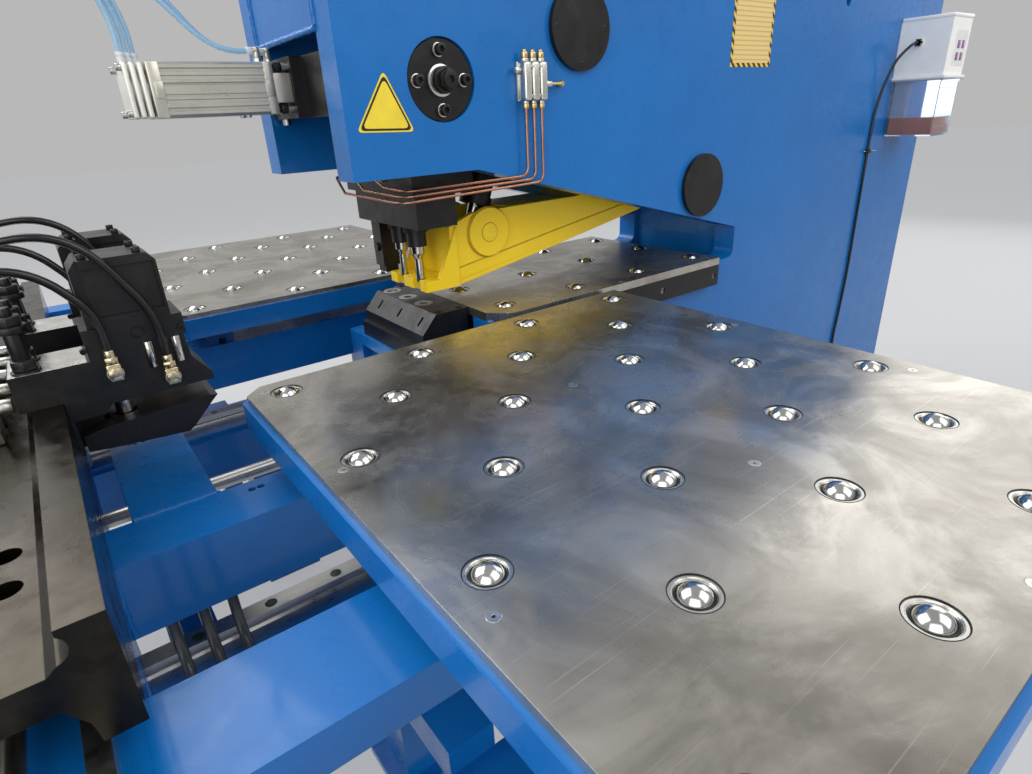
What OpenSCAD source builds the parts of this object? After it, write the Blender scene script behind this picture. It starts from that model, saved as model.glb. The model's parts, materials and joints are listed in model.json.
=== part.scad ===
/* [Frame] */
// Height of the table tops above the floor
table_h = 900; // [850:10:1000]
// Length of the C frame along the throat
frame_l = 2340; // [2300:10:2500]
// Height of the C frame
frame_h = 1950; // [1920:10:2100]
// Thickness of each side plate
plate_t = 70; // [60:1:80]
// Clear gap between the two side plates
plate_gap = 336; // [330:2:350]
// Underside of the head above the table tops
head_gap = 311; // [305:1:320]
// Height of the throat at its root, above the table tops
root_gap = 71; // [60:1:90]

/* [Punching] */
// Distance from the head's front to the row of punches
punch_setback = 218; // [214:1:222]
// Distance between neighbouring stations
station_pitch = 82; // [80:1:84]
// Stroke of the ram
punch_stroke = 57; // [50:1:58]
// Diameter of the punch shank at its tip
punch_d = 20; // [16:1:22]
// Step of the selector between two stations
selector_step = 55; // [52:1:56]

/* [Tables] */
// Length of a side table along the throat
table_l = 900; // [880:5:920]
// Width of a side table away from the throat
table_w = 1020; // [1000:5:1040]
// Distance between the near and the far table
table_split = 596; // [590:2:604]
// Distance from the ends of a side table to its outer ball columns
ball_end_x = 60; // [50:1:80]
// Distance from the inner edge of a side table to its first ball row
ball_inner_y = 53; // [45:1:70]
// Distance from the outer edge of a side table to its last ball row
ball_outer_y = 70; // [50:1:80]
// Diameter of a transfer ball
ball_d = 38; // [36:1:40]
// Diameter of a ball cup
cup_d = 52; // [50:1:54]

/* [Feed] */
// Length of the cross beam under the clamp bar
cross_l = 2600; // [2500:20:2700]
// Length of the clamp bar
bar_l = 1660; // [1600:10:1700]
// Distance between the two linear rails on the floor base
rail_span = 890; // [880:2:900]
// Length of the rails on the floor base
base_rail_l = 1960; // [1940:10:2000]
// Distance between the two clamps
clamp_pitch = 250; // [230:5:270]
// Width of one clamp
clamp_w = 100; // [90:2:104]

/* [Fits] */
// Running clearance between a shaft and its bore, on the radius
run_gap = 0.05; // [0.02:0.01:0.08]
// Gap between pieces that slide past each other
slide_gap = 0.4; // [0.3:0.05:0.6]

/* [Hidden] */
$fn = 48;
blue = [0.12, 0.40, 0.70];
yellow = [0.92, 0.77, 0.20];
black = [0.10, 0.10, 0.11];
steel = [0.62, 0.61, 0.58];
chrome_grey = [0.82, 0.83, 0.85];
zinc = [0.70, 0.70, 0.68];
copper = [0.72, 0.45, 0.32];
brass = [0.78, 0.62, 0.30];
white = [0.90, 0.90, 0.90];

half_gap = plate_gap / 2;
frame_half_w = half_gap + plate_t;
front_x = -frame_l / 2;
back_x = frame_l / 2;
head_z = table_h + head_gap;
punch_x = front_x + punch_setback;
stations = [-station_pitch / 2 - 2, station_pitch / 2 - 2, 1.5 * station_pitch + 2];

throat_lip_x = front_x + 276;
root_x = 22;
root_z = table_h + root_gap;
throat_plate_t = 20;
jaw_z = table_h - throat_plate_t;
jaw_front_x = punch_x - 88;
pocket_x = punch_x + 60;
pocket_z = table_h - 110;
corner_r = 25;
base_t = 30;
base_half_w = frame_half_w + 92;
anchor_x = 1050;
anchor_y = 280;
anchor_d = 27;

cover_d = 166;
cover_t = 12;
arm_pivot = [front_x + 1014, table_h + 208];
cyl_pivot = [front_x + 557, table_h + 575];
boss = [front_x + 393, table_h + 152];
pivot_d = 50;
upper_pin_d = 40;
clevis_pin_d = 30;

sel_z = table_h + 480;
sel_size = 90;
sel_left_x = front_x - 297;
sel_front_x = front_x - 15;
flange_x = front_x + 206;
flange_z = table_h + 478;
flange_d = 142;

guide_bottom_z = table_h + 192;
guide_step_z = table_h + 262;
guide_top_z = table_h + 400;
ram_plate_t = 30;
ram_half_w = 150;
hook_top_z = sel_z + punch_stroke + 26;
ram_d = 180;
gag_t = 25;
gag_half_w = 140;
rail_lip_y = 134;
head_top_z = table_h + 457.5;
gag_z = head_top_z + punch_stroke + 13;
stamp_stroke = punch_stroke - 7;
ram_plate_z = gag_z + gag_t;
seat_z = ram_plate_z + ram_plate_t + 48.5;
cyl_h = frame_h - 129 - seat_z;
holder_d = 40;
holder_head_d = 50;

table_x0 = front_x - 283;
table_t = 12;
ball_x0 = table_x0 + ball_end_x;
ball_y0 = table_split / 2 + ball_inner_y;
ball_pitch_x = (table_l - 2 * ball_end_x) / 3;
ball_pitch_y = (table_w - ball_inner_y - ball_outer_y) / 3;
table_bar_x = [ball_x0 + 35, ball_x0 + 1.75 * ball_pitch_x - 19, ball_x0 + 2.75 * ball_pitch_x - 20];
ball_r = ball_d / 2;
ball_drop = 10.5;
cup_h = 36;
rim_h = 50;
rim_out = 8;
throat_y = 270;
throat_x0 = pocket_x;
throat_x1 = root_x - 109;
throat_ball_steps = [71, 297, 524, 758];
throat_ball_x = [for (step = throat_ball_steps) throat_x0 + step];
throat_ball_y = [-201, 0, 201];

saddle_top_z = table_h - 120;
arm_h = 120;
arm_w = 110;
cross_gap = 252;
cross_w = 275;
cross_x1 = table_x0 - cross_gap;
cross_x0 = cross_x1 - cross_w;
cross_member_steps = [0, 500, 950];
saddle_screw_l = 1030;
manifold_y0 = -340;
manifold_l = 560;
manifold_h = 108;
bridge_x0 = table_x0 - 209;
bridge_x1 = table_x0 - 88;
arm_end_x = table_x0 + table_l - 41;
outer_arm_y = 834;
outer_arm_w = 152;
outer_arm_h = 60;
end_arm_y = table_split / 2 + table_w - 83;
wall = 8;
rail_w = 34;
rail_h = 40;
base_rail_z = table_h - 325;
base_beam_z = base_rail_z - rail_h;
base_beam_h = 140;
base_beam_w = 140;
base_x0 = table_x0 - 717;
cross_member_z = base_beam_z - base_beam_h;
base_l = base_rail_l + 40;
beam_y0 = rail_span / 2 - base_beam_w / 2;

bar_x1 = table_x0 - 242;
bar_x0 = bar_x1 - 215;
bar_top_z = table_h + 50;
bar_bottom_z = table_h - 80;
ledge_z = bar_bottom_z + 89;
ledge_t = 38;
land_w = 38;
ledge_hole_pitch = 67;
bar_rail_x = [bar_x1 - 45, bar_x0 + 45];
bar_screw_x = (bar_x0 + bar_x1) / 2;
bar_screw_z = saddle_top_z + 21;
saddle_screw_z = saddle_top_z - 190;
clamp_y = [-235, -235 + clamp_pitch];
jaw_pin = [bar_x1 + 24, table_h - 22];

lub_x = back_x - 290;
lub_w = 151;
lub_d = 158;
lub_top_z = table_h + 637;
lub_split_z = table_h + 465;
lub_bottom_z = table_h + 276;
lub_y = -frame_half_w - lub_d;

dist_x = front_x + 415;
dist_z = table_h + 476;
pipe_x = [dist_x - 21, dist_x, dist_x + 21];

// Vector helpers for the swept hoses and pipes
function unit(v) = v / norm(v);
function tangent(p, i) =
    i == 0 ? unit(p[1] - p[0]) :
    i == len(p) - 1 ? unit(p[i] - p[i - 1]) :
    unit(unit(p[i + 1] - p[i]) + unit(p[i] - p[i - 1]));
function side_of(t) = abs(t[2]) > 0.9 ? unit(cross(t, [0, 1, 0])) : unit(cross(t, [0, 0, 1]));
function carried(n, t) = unit(n - (n * t) * t);
function frames(p, i = 0, n = undef) =
    let (t = tangent(p, i), m = i == 0 ? side_of(t) : carried(n, t))
    i == len(p) - 1 ? [[t, m]] : concat([[t, m]], frames(p, i + 1, m));

// Points of a round bend through a corner b, between a and c
function bend(a, b, c, r, n) =
    let (u = b + r * unit(a - b), v = b + r * unit(c - b))
    [for (i = [0:n]) let (s = i / n) (1 - s) * (1 - s) * u + 2 * s * (1 - s) * b + s * s * v];

// Centre lines of the hoses, the cable and the grease pipes
function stage_hose(i) = let (x = sel_left_x + 5 + 12 * i, y = -24 + 12 * i, z = sel_z + 43,
    a = [x, y, z], b = [x, y, z + 70], c = [x - 60, y - 10, z + 210], d = [x - 20, y - 24 + 8 * i, z + 400],
    e = [front_x - 150, -60 + 30 * i, frame_h - 120], f = [front_x - 58, -60 + 30 * i, frame_h - 120])
    concat([a], bend(a, b, c, 40, 2), bend(b, c, d, 70, 3), bend(c, d, e, 90, 3), bend(d, e, f, 50, 2), [f]);
function cap_hose(i) = let (x = sel_front_x - 50 + 24 * i, y = 2 + 16 * i, z = sel_z + 67,
    a = [x, y, z], b = [x - 70 - 20 * i, y, z], c = [x - 190, y + 4, z + 130],
    d = [x - 150, y + 14 * i + 20, z + 360], e = [front_x - 120, 30 + 30 * i, frame_h - 120],
    f = [front_x - 58, 30 + 30 * i, frame_h - 120])
    concat([a], bend(a, b, c, 40, 2), bend(b, c, d, 70, 3), bend(c, d, e, 80, 3), bend(d, e, f, 40, 2), [f]);
function grease_pipe(i) = let (y0 = -frame_half_w - 16, z = guide_step_z + 16 - 10 * i,
    x = punch_x - 86 - 10 * i, top = [pipe_x[i], y0, dist_z - 51],
    knee = [pipe_x[i], y0, guide_step_z + 28 - 8 * i], corner = [x, -half_gap - 14 - 8 * i, z],
    side = [x, stations[i] - 40, z + 4], port = [x, stations[i], guide_step_z + 34],
    end = [punch_x - 76, stations[i], guide_step_z + 34])
    concat([top], bend(top, knee, corner, 20, 3), bend(knee, corner, side, 26, 4),
        [side], bend(side, port, end, 8, 2), [end]);
function feed_hose(i) = let (x = bridge_x0 + 6 + 42 * i, y = -rail_span / 2 - 42, z = saddle_top_z,
    a = [x, y, z - arm_h], b = [x, y, z - 222], c = [x + 8, -outer_arm_y + 40, z - 218],
    d = [x + 8, -outer_arm_y + 40, z - outer_arm_h])
    concat([a], bend(a, b, c, 75, 4), bend(b, c, d, 100, 4), [d]);
cable_y = -frame_half_w - 5;
cable_points = let (x = lub_x, y = cable_y) [[x - 16, lub_y + 90, lub_top_z - 68],
    [x - 34, lub_y + 90, lub_top_z - 69], [x - 56, lub_y + 98, lub_top_z - 82],
    [x - 76, y - 30, table_h + 515], [x - 90, y - 10, table_h + 440], [x - 99, y, table_h + 360],
    [x - 105, y, table_h + 270], [x - 107, y, table_h + 80], [x - 107, y, table_h - 150],
    [x - 112, y, table_h - 260], [x - 124, y, table_h - 380], [x - 132, y, table_h - 454],
    [x - 134, y, table_h - 640]];
function front_hose(y) = let (x = bar_x1, z = table_h, x0 = bar_x0 + 31,
    a = [x0, y - 16, z + 158], b = [x0, y - 16, z + 235], c = [x + 10, y - 14, z + 262],
    d = [x + 75, y - 16, z + 175], e = [x + 75, y - 16, z + 100])
    concat([a], bend(a, b, c, 50, 3), bend(b, c, d, 60, 3), bend(c, d, e, 35, 2), [e]);
function rear_hose(y) = let (x = bar_x1, z = table_h, x0 = bar_x0 + 31,
    a = [x0, y + 10, z + 158], b = [x0, y + 10, z + 268], c = [x + 70, y - 16, z + 300],
    d = [x + 148, y - 16, z + 160], e = [x + 148, y - 16, z + 74])
    concat([a], bend(a, b, c, 60, 3), bend(b, c, d, 70, 3), bend(c, d, e, 40, 2), [e]);

// Extrudes an outline drawn in x and z along y, from y0 over a width w
module xz(y0, w) {
    translate([0, y0 + w, 0])
        rotate([90, 0, 0])
            linear_extrude(w) children();
}

// Cylinder along y from y0 over a length w, centred on [x, z]
module rod_y(p, y0, w, d) {
    translate([p[0], y0 + w, p[1]])
        rotate([90, 0, 0])
            cylinder(h = w, d = d);
}

// Cylinder along x from x0 over a length w, centred on [y, z]
module rod_x(x0, w, y, z, d) {
    translate([x0, y, z])
        rotate([0, 90, 0])
            cylinder(h = w, d = d);
}

// Box given by its low corner and its size
module box(low, size) {
    translate(low) cube(size);
}

// Square tube along x
module tube_x(x0, l, y0, w, z0, h) {
    difference() {
        box([x0, y0, z0], [l, w, h]);
        box([x0 + wall, y0 + wall, z0 + wall], [l - 2 * wall, w - 2 * wall, h - 2 * wall]);
    }
}

// Square tube along y
module tube_y(y0, l, x0, w, z0, h) {
    difference() {
        box([x0, y0, z0], [w, l, h]);
        box([x0 + wall, y0 + wall, z0 + wall], [w - 2 * wall, l - 2 * wall, h - 2 * wall]);
    }
}

// Socket head cap screw with its head at the origin, pointing along plus z
module cap_screw(d, l) {
    difference() {
        cylinder(h = d, d = 1.5 * d);
        translate([0, 0, 0.5 * d]) cylinder(h = d, d = 0.9 * d, $fn = 6);
    }
    translate([0, 0, -l]) cylinder(h = l + 0.1, d = d);
}

// Countersunk screw with its flat head flush at the origin
module flat_screw(d, l) {
    difference() {
        union() {
            translate([0, 0, -0.5 * d]) cylinder(h = 0.5 * d, d1 = d, d2 = 2 * d);
            translate([0, 0, -l]) cylinder(h = l - 0.4 * d, d = d);
        }
        translate([0, 0, -0.35 * d]) cylinder(h = d, d = 0.6 * d, $fn = 6);
    }
}

// Round tube swept along a list of points
module swept(p, d, sides) {
    f = frames(p);
    pts = [for (i = [0:len(p) - 1], k = [0:sides - 1])
        let (a = 360 * k / sides, b = cross(f[i][0], f[i][1]))
        p[i] + d / 2 * (cos(a) * f[i][1] + sin(a) * b)];
    walls = [for (i = [0:len(p) - 2], k = [0:sides - 1])
        let (j = (k + 1) % sides)
        [i * sides + k, i * sides + j, (i + 1) * sides + j, (i + 1) * sides + k]];
    polyhedron(points = pts, faces = concat(
        [[for (k = [sides - 1:-1:0]) k]],
        walls,
        [[for (k = [0:sides - 1]) (len(p) - 1) * sides + k]]));
}

// Outline of the throat between head and lower jaw, open to the front
module throat_outline() {
    difference() {
        polygon([[front_x - 1, head_z], [throat_lip_x, head_z], [root_x, root_z], [root_x, jaw_z],
            [pocket_x, jaw_z], [pocket_x, pocket_z], [jaw_front_x - 1, pocket_z],
            [jaw_front_x, -1], [front_x - 1, -1]]);
        translate([root_x - corner_r, jaw_z - 1]) square([corner_r + 1, corner_r + 1]);
    }
    translate([root_x - corner_r, jaw_z + corner_r]) circle(r = corner_r);
}

// Outline of one C shaped side plate
module side_outline() {
    difference() {
        polygon([[front_x, base_t], [back_x, base_t], [back_x, frame_h - 120],
            [back_x - 120, frame_h], [front_x, frame_h]]);
        throat_outline();
        translate([front_x + 1673, table_h + 680]) circle(d = 26);
    }
}

// Bores through the C frame for the pins, flanges, balls and foundation anchors
module frame_bores() {
    translate([0, 0, -1]) for (x = [-anchor_x, anchor_x], y = [-anchor_y, anchor_y])
        translate([x, y, 0]) cylinder(h = base_t + 2, d = anchor_d);
    translate([punch_x, 0, seat_z - 50]) cylinder(h = 60, d = 190);
    rod_y(arm_pivot, -frame_half_w - 1, 2 * frame_half_w + 2, pivot_d);
    rod_y(cyl_pivot, -frame_half_w - 1, 2 * frame_half_w + 2, upper_pin_d);
    rod_y([flange_x, flange_z], -frame_half_w - 1, 2 * frame_half_w + 2, 70);
    rod_y([flange_x, flange_z], -frame_half_w - 1, 19, flange_d + 6);
    rod_y([flange_x, flange_z], frame_half_w - 18, 19, flange_d + 6);
    for (x = throat_ball_x, s = [-1, 1])
        translate([x, s * throat_ball_y[2], jaw_z - cup_h + throat_plate_t - 2])
            cylinder(h = cup_h, d = cup_d + 6);
    for (y = stations) translate([punch_x, y, pocket_z - 31]) cylinder(h = 32, d = 40);
}

// Thick side plates of the welded C frame
module side_plates() {
    color(blue) difference() {
        for (y = [-frame_half_w, half_gap]) xz(y, plate_t) side_outline();
        frame_bores();
    }
}

// Base, ribs and cross plates that join the side plates of the C frame
module cross_plates() {
    color(blue) difference() {
        union() {
            box([front_x, -half_gap, table_h + 566], [30, plate_gap, frame_h - table_h - 616]);
            box([front_x + 60, -half_gap, frame_h - 60], [frame_l - 260, plate_gap, 30]);
            box([back_x - 60, -half_gap, base_t], [30, plate_gap, frame_h - 300]);
            box([root_x + 20, -half_gap, base_t], [30, plate_gap, frame_h - 90]);
            box([front_x + 385, -half_gap, seat_z - 1], [30, plate_gap, frame_h - 59 - seat_z]);
            box([front_x + 30, -half_gap, seat_z - 45], [385, plate_gap, 45]);
            box([jaw_front_x + 20, -half_gap, base_t], [30, plate_gap, pocket_z - base_t - 30]);
            box([jaw_front_x, -half_gap, pocket_z - 30], [pocket_x - jaw_front_x, plate_gap, 30]);
            box([jaw_front_x - 60, -base_half_w, 0], [back_x + 30 - jaw_front_x + 60, 2 * base_half_w, base_t]);
            for (x = [-700, 0, 700], s = [-1, 1])
                xz(s * (frame_half_w + 40) - 40, 80) polygon([[x - 8, base_t], [x + 8, base_t],
                    [x + 8, base_t + 120], [x - 8, base_t + 120]]);
        }
        frame_bores();
    }
}

// Round covers over the ends of the stripper's pins and sunk flanges around the guide studs
module side_covers() {
    color(black) for (s = [-1, 1]) {
        for (p = [arm_pivot, cyl_pivot]) difference() {
            rod_y(p, s * (frame_half_w + cover_t / 2) - cover_t / 2, cover_t, cover_d);
            for (a = [0:90:270]) {
                q = p + 0.42 * cover_d * [cos(a), sin(a)];
                rod_y(q, s * (frame_half_w + cover_t) - 5, 10, 15);
                rod_y(q, s * (frame_half_w + cover_t / 2) - cover_t, 2 * cover_t, 8);
            }
        }
        difference() {
            rod_y([flange_x, flange_z], s * (frame_half_w - 11) - 7, 14, flange_d);
            rod_y([flange_x, flange_z], s * (frame_half_w - 11) - 8, 16, 30);
            for (a = [0:90:270])
                rod_y([flange_x, flange_z] + 52 * [cos(a), sin(a)], s * (frame_half_w - 11) - 8, 16, 14);
        }
    }
}

// Guide block under the head with the bores of the three stations
module guide_block() {
    color(black) difference() {
        union() {
            box([punch_x - 51, -152, guide_bottom_z], [100, 304, 200]);
            box([punch_x - 63, -half_gap, guide_step_z], [151, plate_gap, guide_top_z - guide_step_z]);
        }
        for (y = stations) {
            translate([punch_x, y, guide_bottom_z - 1]) cylinder(h = 400, d = holder_d + 2 * run_gap);
            translate([punch_x, y, guide_top_z - 120]) cylinder(h = 121, d = holder_head_d + 6);
        }
    }
}

// Body of the main hydraulic cylinder, standing on its seat in the head
module main_cylinder() {
    cap_h = 50;
    color(black) translate([punch_x, 0, seat_z]) difference() {
        union() {
            cylinder(h = cyl_h - cap_h, d = 250);
            cylinder(h = 30, d = 300);
            translate([0, 0, cyl_h - cap_h]) cylinder(h = cap_h, d = 280);
        }
        translate([0, 0, -1]) cylinder(h = cyl_h - 30, d = ram_d + 2 * run_gap);
    }
}

// Ram: piston and rod with the plate and rails that carry the selector plate
module ram() {
    z0 = ram_plate_z;
    color(steel) difference() {
        union() {
            translate([punch_x, 0, z0]) cylinder(h = seat_z + cyl_h - 70 - z0, d = ram_d);
            box([punch_x - 80, -ram_half_w, z0], [235, 2 * ram_half_w, ram_plate_t]);
            for (s = [0, 1]) mirror([0, s, 0]) {
                box([punch_x - 80, gag_half_w + slide_gap, gag_z - 12],
                    [235, ram_half_w - gag_half_w - slide_gap, gag_t + 13]);
                box([punch_x - 80, rail_lip_y, gag_z - 12], [235, ram_half_w - rail_lip_y, 11]);
            }
        }
        box([punch_x - 95, -24, z0 - 1], [85, 48, hook_top_z - z0 + 7]);
    }
}

// Selector plate with one striking pad for each station
module selector_gag() {
    x0 = punch_x - 30;
    z0 = gag_z;
    color(steel) {
        difference() {
            box([x0 - 22, -gag_half_w, z0], [200, 2 * gag_half_w, gag_t - slide_gap]);
            box([x0 - 23, -24, z0 - 1], [18, 48, gag_t + 2]);
        }
        for (i = [0:2]) let (lift = i == 2 ? punch_stroke - stamp_stroke : 0)
            box([punch_x - 25 + i * selector_step, stations[i] - 20, head_top_z + slide_gap + lift],
                [50, min(40, rail_lip_y - 1 - stations[i] + 20), z0 - head_top_z - lift]);
        difference() {
            union() {
                box([x0 - 34, -44, z0 - 16], [14, 88, 16 + gag_t - slide_gap]);
                box([x0 - 34, -22, sel_z - 13], [14, 44, hook_top_z - sel_z + 13]);
            }
            box([x0 - 35, -11, sel_z - 14], [16, 22, hook_top_z - 12 - sel_z + 14]);
        }
    }
}

// Holder with head, shank and clamping nut; the nut has a spanner ring
module holder(y, nut_d, low_d) {
    z0 = guide_bottom_z - slide_gap;
    color(black) translate([punch_x, y, 0]) difference() {
        union() {
            translate([0, 0, z0 - 52]) cylinder(h = 34, d = low_d);
            translate([0, 0, z0 - 19]) cylinder(h = 19, d = nut_d);
            translate([0, 0, z0 - 1]) cylinder(h = head_top_z - z0, d = holder_d);
            translate([0, 0, head_top_z - 18]) cylinder(h = 18, d = holder_head_d);
        }
        translate([0, 0, z0 - 53]) cylinder(h = 61, d = 24);
        for (a = [0:45:315]) rotate(a) translate([nut_d / 2, 0, z0 - 20]) cylinder(h = 15, d = 8);
    }
}

module punch_holder_near() { holder(stations[0], 57, 46); }
module punch_holder_middle() { holder(stations[1], 52, 42); }

// Chrome punch: shank in the holder, body, cone and tip
module punch(y, d) {
    z0 = guide_bottom_z - slide_gap - 52;
    tip = table_h + 55;
    color(chrome_grey) translate([punch_x, y, 0]) {
        translate([0, 0, z0]) cylinder(h = 60, d = 24);
        translate([0, 0, z0 - 17]) cylinder(h = 17, d = 32);
        translate([0, 0, z0 - 30]) cylinder(h = 13, d1 = d, d2 = 32);
        translate([0, 0, tip]) cylinder(h = z0 - 29 - tip, d = d);
    }
}

module punch_near() { punch(stations[0], punch_d); }
module punch_middle() { punch(stations[1], punch_d - 3); }

// Stamping unit of the third station with its type block
module stamp_unit() {
    z0 = guide_bottom_z - slide_gap;
    color(black) translate([punch_x, stations[2], 0]) {
        translate([0, 0, head_top_z - 18]) cylinder(h = 18, d = holder_head_d);
        translate([0, 0, z0 - 1]) cylinder(h = head_top_z - z0, d = holder_d);
        box([-23, -23, table_h + 72], [46, 46, z0 - table_h - 72]);
        box([-17, -20, table_h + 56], [34, 40, 17]);
        rod_x(-29, 7, 0, table_h + 120, 22);
    }
}

// Coil springs that lift the three holders
module return_springs() {
    turns = 6;
    z0 = guide_top_z - 118.2;
    z1 = head_top_z - 20.3;
    color(steel) for (y = stations) swept([for (i = [0:turns * 10])
        let (a = 36 * i, s = i / (turns * 10))
        [punch_x + 23.5 * cos(a), y + 23.5 * sin(a), z0 + s * (z1 - z0)]], 4, 6);
}

// Extruded barrel of the selector cylinder with sensor grooves
module selector_barrel() {
    x0 = sel_left_x + 105;
    l = sel_front_x - 60 - x0;
    color(zinc) difference() {
        translate([x0, 0, sel_z]) rotate([0, 90, 0]) linear_extrude(l) difference() {
            square(sel_size - 6, center = true);
            for (s = [-1, 1]) {
                for (t = [-26, 26]) {
                    translate([s * sel_size / 2, t]) square([10, 5], center = true);
                    translate([t, s * sel_size / 2]) square([5, 10], center = true);
                }
                translate([s * (sel_size / 2 - 1), 0]) square([6, 30], center = true);
                translate([0, s * (sel_size / 2 - 1)]) square([30, 6], center = true);
            }
        }
        rod_x(x0 - 1, l + 2, 0, sel_z, 63);
    }
}

// Rear cap with its stack of three stage caps, and front cap with ports and elbows
module selector_caps() {
    x1 = sel_front_x;
    color(zinc) {
        difference() {
            box([sel_left_x + 36, -sel_size / 2, sel_z - sel_size / 2], [69, sel_size, sel_size]);
            rod_x(sel_left_x + 90, 16, 0, sel_z, 63);
            box([sel_left_x + 50, -sel_size / 2 - 1, sel_z - 12], [30, 5, 24]);
        }
        for (i = [0:2]) box([sel_left_x + 12 * i, -sel_size / 2 + 2, sel_z - sel_size / 2 + 2],
            [10, sel_size - 4, sel_size - 4]);
        for (i = [0:2]) rod_x(sel_left_x + 10 + 12 * i, 2, 0, sel_z, 70);
        difference() {
            union() {
                box([x1 - 60, -sel_size / 2, sel_z - sel_size / 2], [60, sel_size, sel_size]);
                rod_x(x1, 12, 0, sel_z, 45);
                for (i = [0:1]) translate([x1 - 42 + 24 * i, 2 + 16 * i, sel_z + 44]) {
                    cylinder(h = 16, d = 13);
                    box([-8, -7, 15], [15, 14, 15]);
                }
            }
            rod_x(x1 - 61, 20, 0, sel_z, 63);
            rod_x(x1 - 61, 90, 0, sel_z, 20 + 2 * run_gap);
            for (s = [-1, 1], t = [-1, 1])
                box([x1 - 26, s * 36 - 12, sel_z + t * 36 - 12], [27, 24, 24]);
        }
    }
}

// Piston and rod of the selector with its T head
module selector_rod() {
    x1 = punch_x - 64;
    color(chrome_grey) {
        rod_x(sel_front_x - 73, x1 - sel_front_x + 96, 0, sel_z, 20);
        rod_x(sel_front_x - 69, 24, 0, sel_z, 63 - 2 * run_gap);
        rod_x(x1 + 16, 7, 0, sel_z, 34);
        rod_x(x1 - 10, 8, 0, sel_z, 34);
    }
}

// Bracket that carries the selector cylinder between the side plates
module selector_mount() {
    color(black) difference() {
        union() {
            box([sel_front_x, -52, sel_z - 54], [24, 104, 108]);
            box([sel_front_x + 24, -half_gap, sel_z - 54], [24, plate_gap, 108]);
        }
        rod_x(sel_front_x - 1, 13, 0, sel_z, 45);
        rod_x(sel_front_x - 1, 80, 0, sel_z, 40);
    }
}

// Air valve block on the head's front plate
module valve_block() {
    color(zinc) {
        box([front_x - 46, -80, frame_h - 150], [46, 160, 60]);
        for (i = [0:4]) rod_x(front_x - 58, 12, -60 + 30 * i, frame_h - 120, 16);
    }
}

// Five air hoses between the selector cylinder and the valve block
module air_hoses() {
    color([0.55, 0.75, 0.90]) {
        for (i = [0:2]) swept(stage_hose(i), 9, 8);
        for (i = [0:1]) swept(cap_hose(i), 9, 8);
    }
}

// Progressive grease distributor on the near side plate
module distributor() {
    y = -frame_half_w;
    color(zinc) {
        difference() {
            box([dist_x - 34, y - 30, dist_z - 40], [68, 30, 74]);
            for (i = [0:1]) box([dist_x - 12 + 22 * i, y - 31, dist_z - 41], [2, 6, 76]);
        }
        for (x = pipe_x) {
            translate([x, y - 16, dist_z + 33]) cylinder(h = 18, d = 14);
            translate([x, y - 16, dist_z + 50]) cylinder(h = 5, d = 9);
            translate([x, y - 16, dist_z - 51]) cylinder(h = 12, d = 13, $fn = 6);
        }
        rod_x(dist_x - 46, 13, y - 15, dist_z + 18, 12);
        rod_x(dist_x + 33, 16, y - 15, dist_z - 8, 12);
    }
}

// Three grease pipes from the distributor to the stations
module grease_pipes() {
    color(copper) for (i = [0:2]) swept(grease_pipe(i), 6, 8);
}

// Brass fittings where the grease pipes enter the guide block and the side plate
module pipe_fittings() {
    color(brass) {
        for (y = stations) {
            rod_x(punch_x - 76, 13, y, guide_step_z + 34, 11);
            translate([punch_x - 72, y, guide_step_z + 34]) rotate([0, 90, 0])
                cylinder(h = 7, d = 15, $fn = 6);
        }
        translate([dist_x + 82, -frame_half_w - 7.5, dist_z - 8]) sphere(d = 14);
        rod_x(dist_x + 49, 30, -frame_half_w - 15, dist_z - 8, 6);
        rod_y([dist_x + 82, dist_z - 8], -frame_half_w - 15, 15, 10);
    }
}

// Housing of the electric grease pump
module lubricator_housing() {
    h = lub_top_z - lub_split_z;
    color(white) difference() {
        box([lub_x, lub_y, lub_split_z], [lub_w, lub_d, h]);
        box([lub_x + 4, lub_y + 4, lub_split_z - 1], [lub_w - 8, lub_d - 8, h - 5]);
    }
    color(white) {
        box([lub_x - 8, lub_y - 8, lub_split_z - 8], [lub_w + 16, lub_d + 8, 8]);
        rod_x(lub_x - 16, 17, lub_y + 90, lub_top_z - 68, 22);
    }
}

// Clear oil tank that hangs under the pump housing
module lubricator_tank() {
    h = lub_split_z - 8 - lub_bottom_z;
    color([0.6, 0.7, 0.85, 0.5]) difference() {
        union() {
            box([lub_x + 2, lub_y + 2, lub_bottom_z], [lub_w - 4, lub_d - 8, h]);
            box([lub_x - 6, lub_y - 6, lub_split_z - 20], [lub_w + 12, lub_d + 4, 12]);
        }
        box([lub_x + 6, lub_y + 6, lub_bottom_z + 4], [lub_w - 12, lub_d - 16, h]);
    }
}

// Supply cable of the pump, clipped to the side plate
module lubricator_cable() {
    color(black) swept(cable_points, 9, 8);
}

// Side view of the stripper arm's web plate
module arm_outline() {
    difference() {
        union() {
            polygon([[punch_x + 81, table_h + 40], [punch_x + 87, table_h + 50],
                [punch_x + 402, table_h + 98], [arm_pivot[0] - 30, table_h + 152],
                [arm_pivot[0] - 22, arm_pivot[1] + 48], [punch_x + 470, table_h + 205],
                [punch_x + 136, table_h + 202], [punch_x + 65, table_h + 178],
                [punch_x + 65, table_h + 40]]);
            translate(arm_pivot) circle(d = 110);
        }
        translate(arm_pivot) circle(d = pivot_d + 2 * run_gap);
    }
}

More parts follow.
